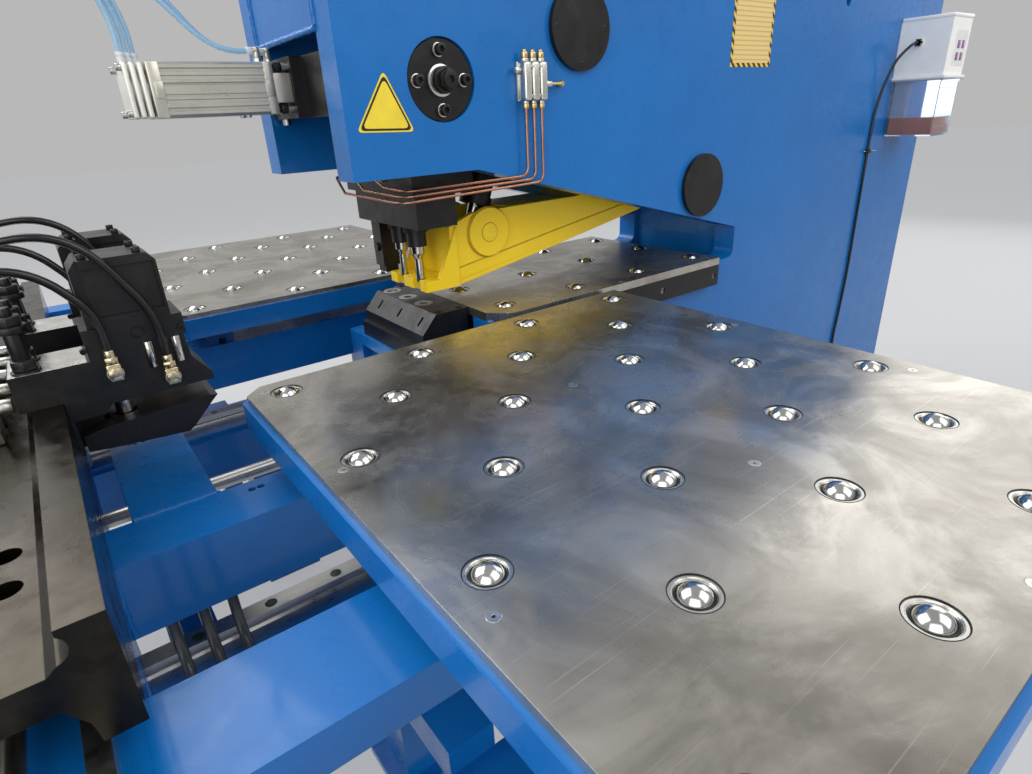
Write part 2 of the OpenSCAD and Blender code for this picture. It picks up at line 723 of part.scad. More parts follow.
// Yellow stripper arm, welded from two webs, flanges and the fork
module stripper_arm() {
    fork_x = punch_x - 13;
    fork_l = 94;
    fork_t = 25;
    half = 91;
    color(yellow) {
        difference() {
            union() {
                for (s = [-1, 1]) {
                    xz(s * (half - 14) - 8, 16) arm_outline();
                    xz(s * (half - 8) - 8, 16) polygon([[fork_x, table_h + 36],
                        [fork_x + fork_l, table_h + 36], [fork_x + fork_l, table_h + 178],
                        [fork_x + 40, table_h + 36 + fork_t], [fork_x, table_h + 36 + fork_t]]);
                    rod_y(boss, s * (half - 6) - 9, 18, 115);
                }
                xz(-half + 8, 2 * half - 16) polygon([[fork_x, table_h + 36], [fork_x + fork_l, table_h + 36],
                    [fork_x + fork_l + 300, table_h + 84], [arm_pivot[0] - 40, table_h + 148],
                    [arm_pivot[0] - 40, table_h + 160], [fork_x + fork_l + 300, table_h + 96],
                    [fork_x + fork_l, table_h + 50], [fork_x + fork_l, table_h + 36 + fork_t],
                    [fork_x, table_h + 36 + fork_t]]);
                box([fork_x + fork_l - 16, -half + 8, table_h + 40], [16, 2 * half - 16, 138]);
                xz(-half + 8, 2 * half - 16) polygon([[punch_x + 250, table_h + 192],
                    [punch_x + 470, table_h + 193], [arm_pivot[0] - 60, table_h + 245],
                    [arm_pivot[0] - 60, table_h + 257], [punch_x + 470, table_h + 205],
                    [punch_x + 250, table_h + 204]]);
            }
            for (i = [0, 1]) {
                translate([punch_x, stations[i], table_h + 30]) cylinder(h = 40, d = 34);
                box([fork_x - 1, stations[i] - 17, table_h + 30], [14, 34, 40]);
            }
            rod_y(boss, -half - 10, 2 * half + 20, clevis_pin_d);
        }
    }
}

// Pin that joins the stripper cylinder's eye to the arm
module clevis_pin() {
    color(yellow) rod_y(boss, -92, 184, clevis_pin_d);
}

// Places the stripper cylinder's axis: origin on the upper pin, minus z along the rod
module on_cylinder_axis() {
    d = boss - cyl_pivot;
    translate([cyl_pivot[0], 0, cyl_pivot[1]])
        rotate([0, atan2(d[0], d[1]) + 180, 0]) children();
}

// Body of the stripper cylinder
module stripper_cylinder() {
    l = norm(boss - cyl_pivot);
    color(black) on_cylinder_axis() difference() {
        union() {
            translate([0, 0, -l + 62]) cylinder(h = l - 102, d = 72);
            translate([0, 0, -l + 60]) cylinder(h = 24, d = 80);
            translate([-30, -30, -60]) cube([60, 60, 60]);
            rotate([90, 0, 0]) translate([0, 0, -30]) cylinder(h = 60, d = 60);
            translate([20, -14, -110]) cube([34, 28, 28]);
        }
        translate([0, 0, -l + 59]) cylinder(h = 40, d = 32 + 2 * run_gap);
        translate([0, 0, -l + 90]) cylinder(h = l - 160, d = 56);
        rotate([90, 0, 0]) translate([0, 0, -31]) cylinder(h = 62, d = upper_pin_d + 2 * run_gap);
    }
}

// Rod and piston of the stripper cylinder with the eye on the arm's clevis pin
module stripper_rod() {
    l = norm(boss - cyl_pivot);
    color(chrome_grey) on_cylinder_axis() difference() {
        union() {
            translate([0, 0, -l + 20]) cylinder(h = 200, d = 32);
            translate([0, 0, -l + 190]) cylinder(h = 30, d = 56 - 2 * run_gap);
            translate([0, 0, -l]) rotate([90, 0, 0]) translate([0, 0, -24]) cylinder(h = 48, d = 56);
        }
        translate([0, 0, -l]) rotate([90, 0, 0])
            translate([0, 0, -25]) cylinder(h = 50, d = clevis_pin_d + 3);
    }
}

// Black bolster under the die block
module die_bolster() {
    color(black) difference() {
        box([jaw_front_x + 8, -160, pocket_z], [pocket_x - jaw_front_x - 11, 320, 40]);
        for (y = stations) translate([punch_x, y, pocket_z - 1]) cylinder(h = 42, d = 36);
    }
}

// Die block with its sloping front face
module die_block() {
    z0 = pocket_z + 40;
    color([0.25, 0.25, 0.26]) difference() {
        xz(-152, 306) polygon([[punch_x - 69, z0], [pocket_x - 3, z0], [pocket_x - 3, table_h],
            [punch_x - 29, table_h], [punch_x - 69, table_h - 43]]);
        for (y = stations) {
            translate([punch_x, y, z0 - 1]) cylinder(h = 80, d = 34);
            translate([punch_x, y, table_h - 28]) cylinder(h = 29, d = 46);
        }
        for (y = [-110, -5, 100]) translate([punch_x - 49, y, table_h - 22]) rotate([0, 43, 0])
            box([-8, -4, -12], [70, 8, 24]);
        for (x = [punch_x - 14, punch_x + 40], y = [-140, 146])
            translate([x, y, table_h - 12]) cylinder(h = 13, d = 16);
    }
}

// Die inserts with the hole of each station
module dies() {
    color(steel) for (i = [0:2]) translate([punch_x, stations[i], table_h - 28]) difference() {
        cylinder(h = 28, d = 46);
        if (i < 2) {
            translate([0, 0, -1]) cylinder(h = 30, d = i == 0 ? 22 : 19);
            translate([0, 0, -1]) cylinder(h = 19, d = 28);
        } else {
            translate([0, 0, 20]) cylinder(h = 9, d = 30);
        }
    }
}

// Plate with the seats of its transfer balls and of its flat screws
module ball_plate(x0, l, y0, w, t, balls, screws, cut) {
    difference() {
        translate([0, 0, table_h - t]) linear_extrude(t) polygon([[x0 + cut, y0], [x0 + l, y0],
            [x0 + l, y0 + w], [x0 + cut, y0 + w], [x0, y0 + w - cut], [x0, y0 + cut]]);
        for (b = balls) translate([b[0], b[1], table_h - t - 1]) cylinder(h = t + 2, d = cup_d);
        for (q = screws) {
            translate([q[0], q[1], table_h - t - 1]) cylinder(h = t + 2, d = 8.4);
            translate([q[0], q[1], table_h - 4]) cylinder(h = 4, d1 = 8.4, d2 = 16);
        }
    }
}

// Ball places of a side table: four by four, with three by three between them
function ball_places(s) = concat(
    [for (i = [0:3], j = [0:3]) [ball_x0 + i * ball_pitch_x, s * (ball_y0 + j * ball_pitch_y)]],
    [for (i = [0:2], j = [0:2])
        [ball_x0 + (i + 0.5) * ball_pitch_x, s * (ball_y0 + (j + 0.5) * ball_pitch_y)]]);
function screw_places(s) = [for (x = [30, table_l / 2 - 20, table_l - 30],
    y = [0.03, 0.36, 0.69, 0.97]) [table_x0 + x, s * (table_split / 2 + y * table_w)]];
throat_ball_places = [for (x = throat_ball_x, y = throat_ball_y) [x, y]];
throat_screw_places = [for (x = [throat_x0 + 40, throat_x0 + 410, throat_x1 - 30], s = [-1, 1])
    [x, s * (throat_y - 14)]];

// Steel tops of the two side tables
module side_tables() {
    color(steel) for (s = [-1, 1]) ball_plate(table_x0, table_l,
        s * (table_split + table_w) / 2 - table_w / 2, table_w, table_t,
        ball_places(s), screw_places(s), 30);
}

module throat_table() {
    color(steel) ball_plate(throat_x0, throat_x1 - throat_x0, -throat_y, 2 * throat_y, throat_plate_t,
        throat_ball_places, throat_screw_places, 45);
}

// Bars on the outside of the side plates that carry the throat table's overhang
module throat_bars() {
    w = throat_y - frame_half_w;
    color(black) for (s = [-1, 1]) difference() {
        box([throat_x0 + 60, s * (frame_half_w + w / 2) - w / 2, jaw_z - 60],
            [throat_x1 - throat_x0 - 60, w, 60]);
        for (x = [throat_x0 + 130, throat_x0 + 560, throat_x1 - 20])
            rod_y([x, jaw_z - 32], s * (throat_y - 6) - 8, 16, 18);
    }
}

// Blue frames under the side tables with their bevelled rim
module table_frames() {
    z1 = table_h - table_t;
    color(blue) for (s = [0, 1]) mirror([0, s, 0]) {
        y0 = table_split / 2;
        difference() {
            translate([0, 0, z1 - rim_h]) linear_extrude(rim_h) polygon([
                [table_x0 + 24, y0 - rim_out], [table_x0 + table_l + rim_out, y0 - rim_out],
                [table_x0 + table_l + rim_out, y0 + table_w + rim_out],
                [table_x0 + 24, y0 + table_w + rim_out],
                [table_x0 - rim_out, y0 + table_w - 24], [table_x0 - rim_out, y0 + 24]]);
            translate([0, 0, z1 - rim_h - 1]) linear_extrude(rim_h + 2) polygon([
                [table_x0 + 30, y0 + 6], [table_x0 + table_l - 6, y0 + 6],
                [table_x0 + table_l - 6, y0 + table_w - 6], [table_x0 + 30, y0 + table_w - 6],
                [table_x0 + 6, y0 + table_w - 30], [table_x0 + 6, y0 + 30]]);
        }
        for (x = table_bar_x) box([x, y0 + 5, z1 - 40], [40, table_w - 10, 40]);
        for (x = [table_bar_x[0], table_bar_x[2]], y = [rail_span / 2, outer_arm_y, end_arm_y])
            box([x - 10, y - 35, saddle_top_z], [60, 70, z1 - 39 - saddle_top_z]);
    }
}

// Cup of a ball transfer unit, sunk into the plate at b
module cup(b) {
    color(zinc) translate([b[0], b[1], table_h - cup_h]) difference() {
        cylinder(h = cup_h - 1, d = cup_d);
        translate([0, 0, cup_h - 4]) cylinder(h = 5, d1 = cup_d - 12, d2 = cup_d - 4);
        translate([0, 0, cup_h - ball_drop]) sphere(r = ball_r);
    }
}

// Ball of a ball transfer unit
module ball(b) {
    color(chrome_grey) translate([b[0], b[1], table_h - ball_drop]) sphere(r = ball_r);
}

module side_cups() { for (b = concat(ball_places(-1), ball_places(1))) cup(b); }
module side_balls() { for (b = concat(ball_places(-1), ball_places(1))) ball(b); }
module throat_cups() { for (b = throat_ball_places) cup(b); }
module throat_balls() { for (b = throat_ball_places) ball(b); }

// Flat screws that hold the side table tops
module side_screws() {
    color(zinc) for (q = concat(screw_places(-1), screw_places(1)))
        translate([q[0], q[1], table_h]) flat_screw(8, table_t);
}

// Rail beams of the floor base with their columns, foot plates and ties to the C frame
module feed_beams() {
    color(blue) for (s = [0, 1]) mirror([0, s, 0]) difference() {
        union() {
            tube_x(base_x0, base_l, beam_y0, base_beam_w, base_beam_z - base_beam_h, base_beam_h - 10);
            box([base_x0, beam_y0 + 20, base_beam_z - 11], [base_l, base_beam_w - 40, 11]);
            for (x = [base_x0 + 60, base_x0 + 820, base_x0 + base_l - 160]) {
                box([x, beam_y0 + 20, 0], [100, 100, cross_member_z + 1]);
                box([x - 30, beam_y0 - 10, 0], [160, 160, 20]);
            }
            box([base_x0 + base_l - 190, base_half_w, 0], [160, beam_y0 - 9 - base_half_w, 20]);
        }
        for (x = [base_x0 + 60, base_x0 + base_l - 60])
            translate([x + 50, rail_span / 2 - 60, -1]) cylinder(h = 22, d = 18);
    }
}

// Cross members and outriggers of the floor base with the bearings of the saddle screw
module feed_cross() {
    y1 = beam_y0 + base_beam_w;
    color(blue) {
        for (step = cross_member_steps)
            tube_y(-beam_y0, 2 * beam_y0, base_x0 + step, 80, cross_member_z, 80);
        for (i = [0, 2]) difference() {
            x = base_x0 + cross_member_steps[i];
            box([x + 10, -60, cross_member_z + 79], [50, 120, 140]);
            rod_x(x + 9, 52, 0, saddle_screw_z, 32 + 2 * run_gap);
        }
        for (s = [0, 1]) mirror([0, s, 0]) {
            tube_x(base_x0 + 150, base_l - 500, outer_arm_y - 40, 80, cross_member_z - 60, 80);
            for (x = [base_x0 + 200, base_x0 + 780, base_x0 + base_l - 480]) {
                tube_y(y1, outer_arm_y - 39 - y1, x, 80, cross_member_z, 70);
                box([x + 10, outer_arm_y - 30, 0], [60, 60, cross_member_z - 59]);
                box([x - 10, outer_arm_y - 50, 0], [100, 100, 16]);
            }
        }
    }
}

// Linear rails on the floor base with their counterbored screw holes
module base_rails() {
    color(steel) for (s = [-1, 1]) difference() {
        translate([base_x0 + 20, s * rail_span / 2, 0]) rotate([90, 0, 90]) linear_extrude(base_rail_l)
            polygon([[-17, base_beam_z], [17, base_beam_z], [17, base_beam_z + 16],
                [13, base_beam_z + 20], [17, base_beam_z + 26], [17, base_rail_z],
                [-17, base_rail_z], [-17, base_beam_z + 26], [-13, base_beam_z + 20],
                [-17, base_beam_z + 16]]);
        for (i = [0:16]) translate([base_x0 + 80 + 115 * i, s * rail_span / 2, base_rail_z - 14])
            cylinder(h = 15, d = 20);
    }
}

// Guide block of the saddle on one of the two base rails, welded under z1
module guide_shoe(x, z1) {
    difference() {
        box([x, rail_span / 2 - 48, base_beam_z + 10], [120, 96, z1 - base_beam_z - 10]);
        box([x - 1, rail_span / 2 - 17 - slide_gap, base_beam_z + 9],
            [122, 34 + 2 * slide_gap, rail_h - 9 + slide_gap]);
    }
}

// Cross beam of the saddle with guide blocks, screw nut and the bearings of the bar screw
module saddle() {
    z0 = saddle_top_z - arm_h;
    color(blue) difference() {
        union() {
            tube_y(-cross_l / 2, cross_l, cross_x0, cross_x1 - cross_x0, z0, arm_h);
            for (s = [0, 1]) mirror([0, s, 0]) {
                guide_shoe(cross_x0 + 150, z0 + 1);
                box([bar_screw_x - 30, cross_l / 2 - 40, saddle_top_z - 1], [60, 40, 40]);
            }
            box([cross_x0 + 200, -45, saddle_screw_z - 40], [70, 90, z0 - saddle_screw_z + 41]);
        }
        rod_x(cross_x0 + 199, 72, 0, saddle_screw_z, 32 + 2 * run_gap);
        rod_y([bar_screw_x, bar_screw_z], -cross_l / 2 - 1, cross_l + 2, 20 + 2 * run_gap);
    }
}

// Arms of the saddle under the side tables, with the bridge between the inner two
module saddle_arms() {
    l = arm_end_x - cross_x1;
    z0 = saddle_top_z - arm_h;
    inner_y = rail_span / 2 - arm_w / 2;
    color(blue) {
        difference() {
            union() {
                for (s = [0, 1]) mirror([0, s, 0]) {
                    tube_x(cross_x1, l, inner_y, arm_w, z0, arm_h);
                    guide_shoe(arm_end_x - 359, z0 + 1);
                }
                tube_y(-inner_y - 1, 2 * inner_y + 2, bridge_x0, bridge_x1 - bridge_x0, z0, arm_h);
            }
            for (x = [bridge_x1 + 46, bridge_x1 + 60])
                translate([x, -inner_y - 28, saddle_top_z - 20]) cylinder(h = 21, d = 12);
        }
        for (s = [0, 1], a = [[outer_arm_y, outer_arm_w], [end_arm_y, 100]]) mirror([0, s, 0])
            tube_x(cross_x1, l, a[0] - a[1] / 2, a[1], saddle_top_z - outer_arm_h, outer_arm_h);
    }
}

// Three hoses that loop under the arms of the saddle
module feed_hoses() {
    color(black) for (i = [0:2]) swept(feed_hose(i), 16, 10);
}

// Rails of the clamp bar on the saddle
module bar_rails() {
    color(steel) for (x = bar_rail_x)
        box([x - 11, -cross_l / 2 + 70, saddle_top_z], [22, cross_l - 140, 22]);
}

// Screw that drives the saddle
module saddle_screw() {
    color(steel) rod_x(base_x0 - 20, saddle_screw_l, 0, saddle_screw_z, 32);
}

// Screw that drives the clamp bar
module bar_screw() {
    color(steel) rod_y([bar_screw_x, bar_screw_z], -cross_l / 2 - 20, cross_l + 20, 20);
}

// Servo motor with flange, body and connector; its shaft end points along plus x
module motor(w, l) {
    color(black) difference() {
        union() {
            box([-12, -w / 2 - 5, -w / 2 - 5], [12, w + 10, w + 10]);
            box([-l, -w / 2, -w / 2], [l - 11, w, w]);
            box([10 - l, -20, w / 2 - 1], [50, 40, 30]);
        }
        rod_x(-40, 41, 0, 0, 36);
    }
}

// Motor of the saddle screw with its flange plate
module saddle_motor() {
    translate([base_x0, 0, saddle_screw_z]) motor(110, 180);
    color(blue) difference() {
        box([base_x0 - 0.01, -66, saddle_screw_z - 66], [10.01, 132, 132]);
        rod_x(base_x0 - 1, 12, 0, saddle_screw_z, 36);
    }
}

// Motor of the clamp bar's screw
module bar_motor() {
    translate([bar_screw_x, -cross_l / 2, bar_screw_z]) rotate([0, 0, 90]) motor(90, 150);
}

// Clamp bar: raised land, scooped step, ledge with holes, guide blocks and manifold
module clamp_bar() {
    y0 = -bar_l / 2;
    ledge_low_z = ledge_z - ledge_t;
    color([0.42, 0.38, 0.33]) {
        difference() {
            xz(y0, bar_l) difference() {
                polygon([[bar_x0, ledge_low_z], [bar_x1 - 55, ledge_low_z],
                    [bar_x1 - land_w - 1, ledge_low_z - 26], [bar_x1 - land_w + 2, bar_bottom_z],
                    [bar_x1, bar_bottom_z], [bar_x1, bar_top_z],
                    [bar_x1 - land_w, bar_top_z], [bar_x1 - land_w, ledge_z + 12],
                    [bar_x1 - land_w - 16, ledge_z], [bar_x0, ledge_z]]);
                translate([bar_x1 - land_w - 9, ledge_z + 22]) circle(r = 15);
            }
            for (y = [0.385, 0, -0.385] * bar_l, s = [-1, 1])
                translate([bar_x1 - 81, y + s * ledge_hole_pitch / 2, ledge_low_z - 1]) {
                    cylinder(h = 70, d = 18);
                    translate([0, 0, 18]) cylinder(h = 30, d = 30);
                }
        }
        for (r = [[bar_rail_x[0], bar_bottom_z], [bar_rail_x[1], ledge_low_z]],
            y = [y0 + 120, -60, bar_l / 2 - 240]) difference() {
                box([r[0] - 30, y, saddle_top_z + 6], [60, 120, r[1] - saddle_top_z - 5]);
                box([r[0] - 11 - slide_gap, y - 1, saddle_top_z + 5],
                    [22 + 2 * slide_gap, 122, 17 + slide_gap]);
            }
        difference() {
            box([bar_screw_x - 24, -30, saddle_top_z + 4], [48, 60, ledge_low_z - saddle_top_z - 3]);
            rod_y([bar_screw_x, bar_screw_z], -31, 62, 20 + 2 * run_gap);
        }
        box([bar_x0 + 8, manifold_y0, ledge_z - 1], [46, manifold_l, bar_top_z + manifold_h - ledge_z + 1]);
    }
}

// Side view of a clamp body, from the foot on the bar to the upper jaw
module clamp_outline() {
    x = bar_x1;
    z = table_h;
    polygon([[x - 52, z + 50], [x - 52, z + 104], [x + 49, z + 104], [x + 49, z + 151],
        [x + 59, z + 151], [x + 59, z + 236], [x + 70, z + 250], [x + 160, z + 250],
        [x + 171, z + 238], [x + 171, z + 151], [x + 186, z + 151], [x + 186, z + 117],
        [x + 181, z + 117], [x + 184, z + 78], [x + 208, z + 44], [x + 208, z + 32],
        [x + 60, z + 32], [x + 44, z + 14], [x + 44, z - 14], [x + 33, z - 40],
        [x + slide_gap, z - 40], [x + slide_gap, z + 50]]);
}

// Black bodies of the two hydraulic clamps
module clamp_bodies() {
    x = bar_x1;
    color(black) for (y = clamp_y) translate([0, y, 0]) difference() {
        xz(-clamp_w / 2, clamp_w) clamp_outline();
        for (s = [-1, 1]) {
            translate([0, s * 32 - 19, 0]) box([x + 6, 0, table_h - 42], [60, 38, 60]);
            box([x + 62, s * (clamp_w / 2) - 6, table_h + 165], [105, 12, 72]);
            translate([x - 26, s * 26, table_h + 49]) cylinder(h = 56, d = 18);
            rod_y([x + 120, table_h + 134], s * (clamp_w / 2) - 6, 12, 20);
        }
        rod_y(jaw_pin, -20, 40, 14 + 2 * run_gap);
        translate([x + 75, 0, table_h - 20]) cylinder(h = 200, d = 27 + 2 * run_gap);
        for (s = [-1, 1]) box([x + 58, s * 46 - 4, table_h + 150], [14, 8, 101]);
    }
    color(black) for (y = clamp_y, q = [[75, 72], [148, 46]])
        box([x + q[0] - 10, y - clamp_w / 2 - 24, table_h + q[1]], [20, 24.01, 28]);
}

// Lower jaw of a clamp with its hinge pin, at width y
module jaw(y) {
    x = bar_x1;
    z = table_h;
    color([0.12, 0.12, 0.13]) translate([0, y, 0]) {
        difference() {
            xz(-clamp_w / 2 + 1, clamp_w - 2) polygon([[x + 10, z - 36], [x + 10, z - 10],
                [x + 40, z - 4], [x + 196, z + 4], [x + 207, z + 2], [x + 196, z - 8],
                [x + 165, z - 39], [x + 152, z - 49], [x + 41, z - 40]]);
            box([x, -15, z - 60], [50, 30, 80]);
            translate([x + 75, 0, z - 60]) cylinder(h = 80, d = 34);
        }
        rod_y(jaw_pin, -clamp_w / 2, clamp_w, 14);
    }
}

module jaw_near() { jaw(clamp_y[0]); }
module jaw_far() { jaw(clamp_y[1]); }

// Piston rod of a clamp with its domed nut under the lower jaw
module jaw_piston(y) {
    z = table_h;
    color(chrome_grey) translate([bar_x1 + 75, y, 0]) {
        translate([0, 0, z - 55]) cylinder(h = 205, d = 27);
        translate([0, 0, z - 57]) cylinder(h = 8, d = 44);
        translate([0, 0, z - 60]) cylinder(h = 3, d1 = 30, d2 = 44);
    }
}

module jaw_piston_near() { jaw_piston(clamp_y[0]); }
module jaw_piston_far() { jaw_piston(clamp_y[1]); }

// Four hydraulic hoses from the manifold to the clamps
module clamp_hoses() {
    color(black) for (c = clamp_y) {
        swept(front_hose(c - clamp_w / 2), 12, 8);
        swept(rear_hose(c - clamp_w / 2), 12, 8);
    }
}

// Pins, screws and nuts of the frame: the stripper's two pins, the guide studs and what holds
// the covers, flanges, bars and blocks
module fastenings() {
    stud_l = frame_half_w + 32 - 151;
    color(steel) {
        rod_y(arm_pivot, -frame_half_w, 2 * frame_half_w, pivot_d);
        rod_y(cyl_pivot, -frame_half_w, 2 * frame_half_w, upper_pin_d);
        for (s = [-1, 1]) difference() {
            rod_y([flange_x, flange_z], s * (151 + stud_l / 2) - stud_l / 2, stud_l, 30);
            rod_y([flange_x, flange_z], s * (frame_half_w + 32) - 8, 16, 14);
        }
        for (s = [-1, 1], t = [-1, 1])
            translate([sel_front_x - 14, s * 36, sel_z + t * 36])
                rotate([0, -90, 0]) cap_screw(12, 14);
        for (s = [-1, 1]) translate([sel_front_x + 39, s * (half_gap - 30), sel_z - 54])
            rotate([180, 0, 0]) difference() {
                cylinder(h = 12, d = 18);
                translate([0, 0, 6]) cylinder(h = 7, d = 10, $fn = 6);
            }
        for (q = throat_screw_places) translate([q[0], q[1], table_h]) flat_screw(8, throat_plate_t);
        for (p = [arm_pivot, cyl_pivot], s = [-1, 1], a = [0:90:270])
            translate([p[0] + 0.42 * cover_d * cos(a), s * (frame_half_w + cover_t - 1),
                p[1] + 0.42 * cover_d * sin(a)]) rotate([-90 * s, 0, 0]) difference() {
                    union() {
                        translate([0, 0, -4]) cylinder(h = 4, d = 15);
                        translate([0, 0, -cover_t + 1]) cylinder(h = cover_t - 4, d = 8);
                    }
                    translate([0, 0, -3]) cylinder(h = 4, d = 7, $fn = 6);
                }
        for (s = [-1, 1]) {
            for (a = [0:90:270])
                translate([flange_x + 52 * cos(a), s * (frame_half_w - 4), flange_z + 52 * sin(a)])
                    rotate([-90 * s, 0, 0]) cap_screw(14, 14);
            difference() {
                rod_y([flange_x, flange_z], s * (frame_half_w + 4) - 8, 16, 46);
                rod_y([flange_x, flange_z], s * (frame_half_w + 4) - 9, 18, 30);
            }
        }
        for (s = [-1, 1], x = [throat_x0 + 130, throat_x0 + 560, throat_x1 - 20])
            translate([x, s * (throat_y - 14), jaw_z - 32]) rotate([-90 * s, 0, 0]) difference() {
                cylinder(h = 10, d = 18);
                translate([0, 0, 4]) cylinder(h = 7, d = 10, $fn = 6);
            }
    }
}

side_plates();
cross_plates();
side_covers();
guide_block();
main_cylinder();
ram();
selector_gag();
punch_holder_near();
punch_near();
punch_holder_middle();
punch_middle();
stamp_unit();
return_springs();
selector_barrel();
selector_caps();
selector_rod();
selector_mount();
valve_block();
air_hoses();
distributor();
grease_pipes();
pipe_fittings();
lubricator_housing();
lubricator_tank();
lubricator_cable();
stripper_arm();
clevis_pin();
stripper_cylinder();
stripper_rod();
die_bolster();
die_block();
dies();
throat_table();
throat_bars();
throat_cups();
throat_balls();
side_tables();
table_frames();
side_cups();
side_balls();
side_screws();
feed_beams();
feed_cross();
base_rails();
saddle();
saddle_arms();
feed_hoses();
bar_rails();
clamp_bar();
clamp_bodies();
jaw_near();
jaw_far();
jaw_piston_near();
jaw_piston_far();
clamp_hoses();
saddle_screw();
bar_screw();
saddle_motor();
bar_motor();
fastenings();
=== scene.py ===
"""Looks of a plate punching machine with a C frame, three stations and a clamp feed.

The CAD nodes are the fixed frame. This script gives each of them its finish and
adds the small pieces, signs, welds and fittings that dress the machine.
"""

import json
import logging
import math
from dataclasses import dataclass
from enum import Enum

import bpy
from mathutils import Euler, Matrix, Vector

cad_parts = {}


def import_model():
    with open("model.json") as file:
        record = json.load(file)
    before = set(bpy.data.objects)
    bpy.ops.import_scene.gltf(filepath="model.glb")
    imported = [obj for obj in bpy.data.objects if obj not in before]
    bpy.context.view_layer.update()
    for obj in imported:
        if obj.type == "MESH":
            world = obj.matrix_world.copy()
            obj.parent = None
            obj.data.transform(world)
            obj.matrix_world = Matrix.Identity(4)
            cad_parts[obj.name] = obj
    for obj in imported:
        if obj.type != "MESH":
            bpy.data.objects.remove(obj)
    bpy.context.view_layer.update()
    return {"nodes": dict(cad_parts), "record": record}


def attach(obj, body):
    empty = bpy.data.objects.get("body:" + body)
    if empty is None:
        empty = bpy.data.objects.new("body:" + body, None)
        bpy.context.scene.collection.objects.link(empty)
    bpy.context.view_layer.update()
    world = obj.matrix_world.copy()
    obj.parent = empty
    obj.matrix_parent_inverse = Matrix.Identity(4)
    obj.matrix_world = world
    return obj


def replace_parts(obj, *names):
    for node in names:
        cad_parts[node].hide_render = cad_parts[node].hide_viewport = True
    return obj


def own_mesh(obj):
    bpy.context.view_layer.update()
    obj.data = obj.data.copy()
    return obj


log = logging.getLogger("punching_machine")

Point = tuple[float, float, float]
Flat = tuple[float, float]
Colour = tuple[float, float, float]
Socket = bpy.types.NodeSocket
Piece = bpy.types.Object

FRONT_X = -1.170
TABLE_Z = 0.900
PLATE_Y = 0.238
PUNCH_X = -0.952
BAR_X = -1.695
SELECTOR_Z = TABLE_Z + 0.480
SELECTOR_X = (FRONT_X - 0.297, FRONT_X - 0.015)
STATIONS = (-0.043, 0.039, 0.125)
PIPE_X = (-0.776, -0.755, -0.734)
CLAMPS = (("near", -0.235), ("far", 0.015))


class Slot(Enum):
    """Material slots of the record."""

    BLUE = "blue_enamel"
    YELLOW = "yellow_paint"
    BLACK = "black_oxide"
    GROUND = "ground_steel"
    BRIGHT = "bright_steel"
    CHROME = "chrome"
    ZINC = "zinc"
    ANODISED = "anodised"
    COPPER = "copper"
    BRASS = "brass"
    WHITE = "white_plastic"
    CLEAR = "clear_tank"
    LIGHT_HOSE = "light_blue_hose"
    BLACK_HOSE = "black_hose"
    OILY = "oily_steel"


class Axis(Enum):
    """Direction in which a turned piece stands."""

    X = (0.0, math.pi / 2, 0.0)
    Y = (-math.pi / 2, 0.0, 0.0)
    Z = (0.0, 0.0, 0.0)
    MINUS_X = (0.0, -math.pi / 2, 0.0)
    MINUS_Y = (math.pi / 2, 0.0, 0.0)

    @property
    def aim(self) -> Vector:
        """The direction as a vector of length 1."""
        return Euler(self.value).to_matrix() @ Vector((0, 0, 1))


SIDES = (("near", -1, Axis.MINUS_Y), ("far", 1, Axis.Y))


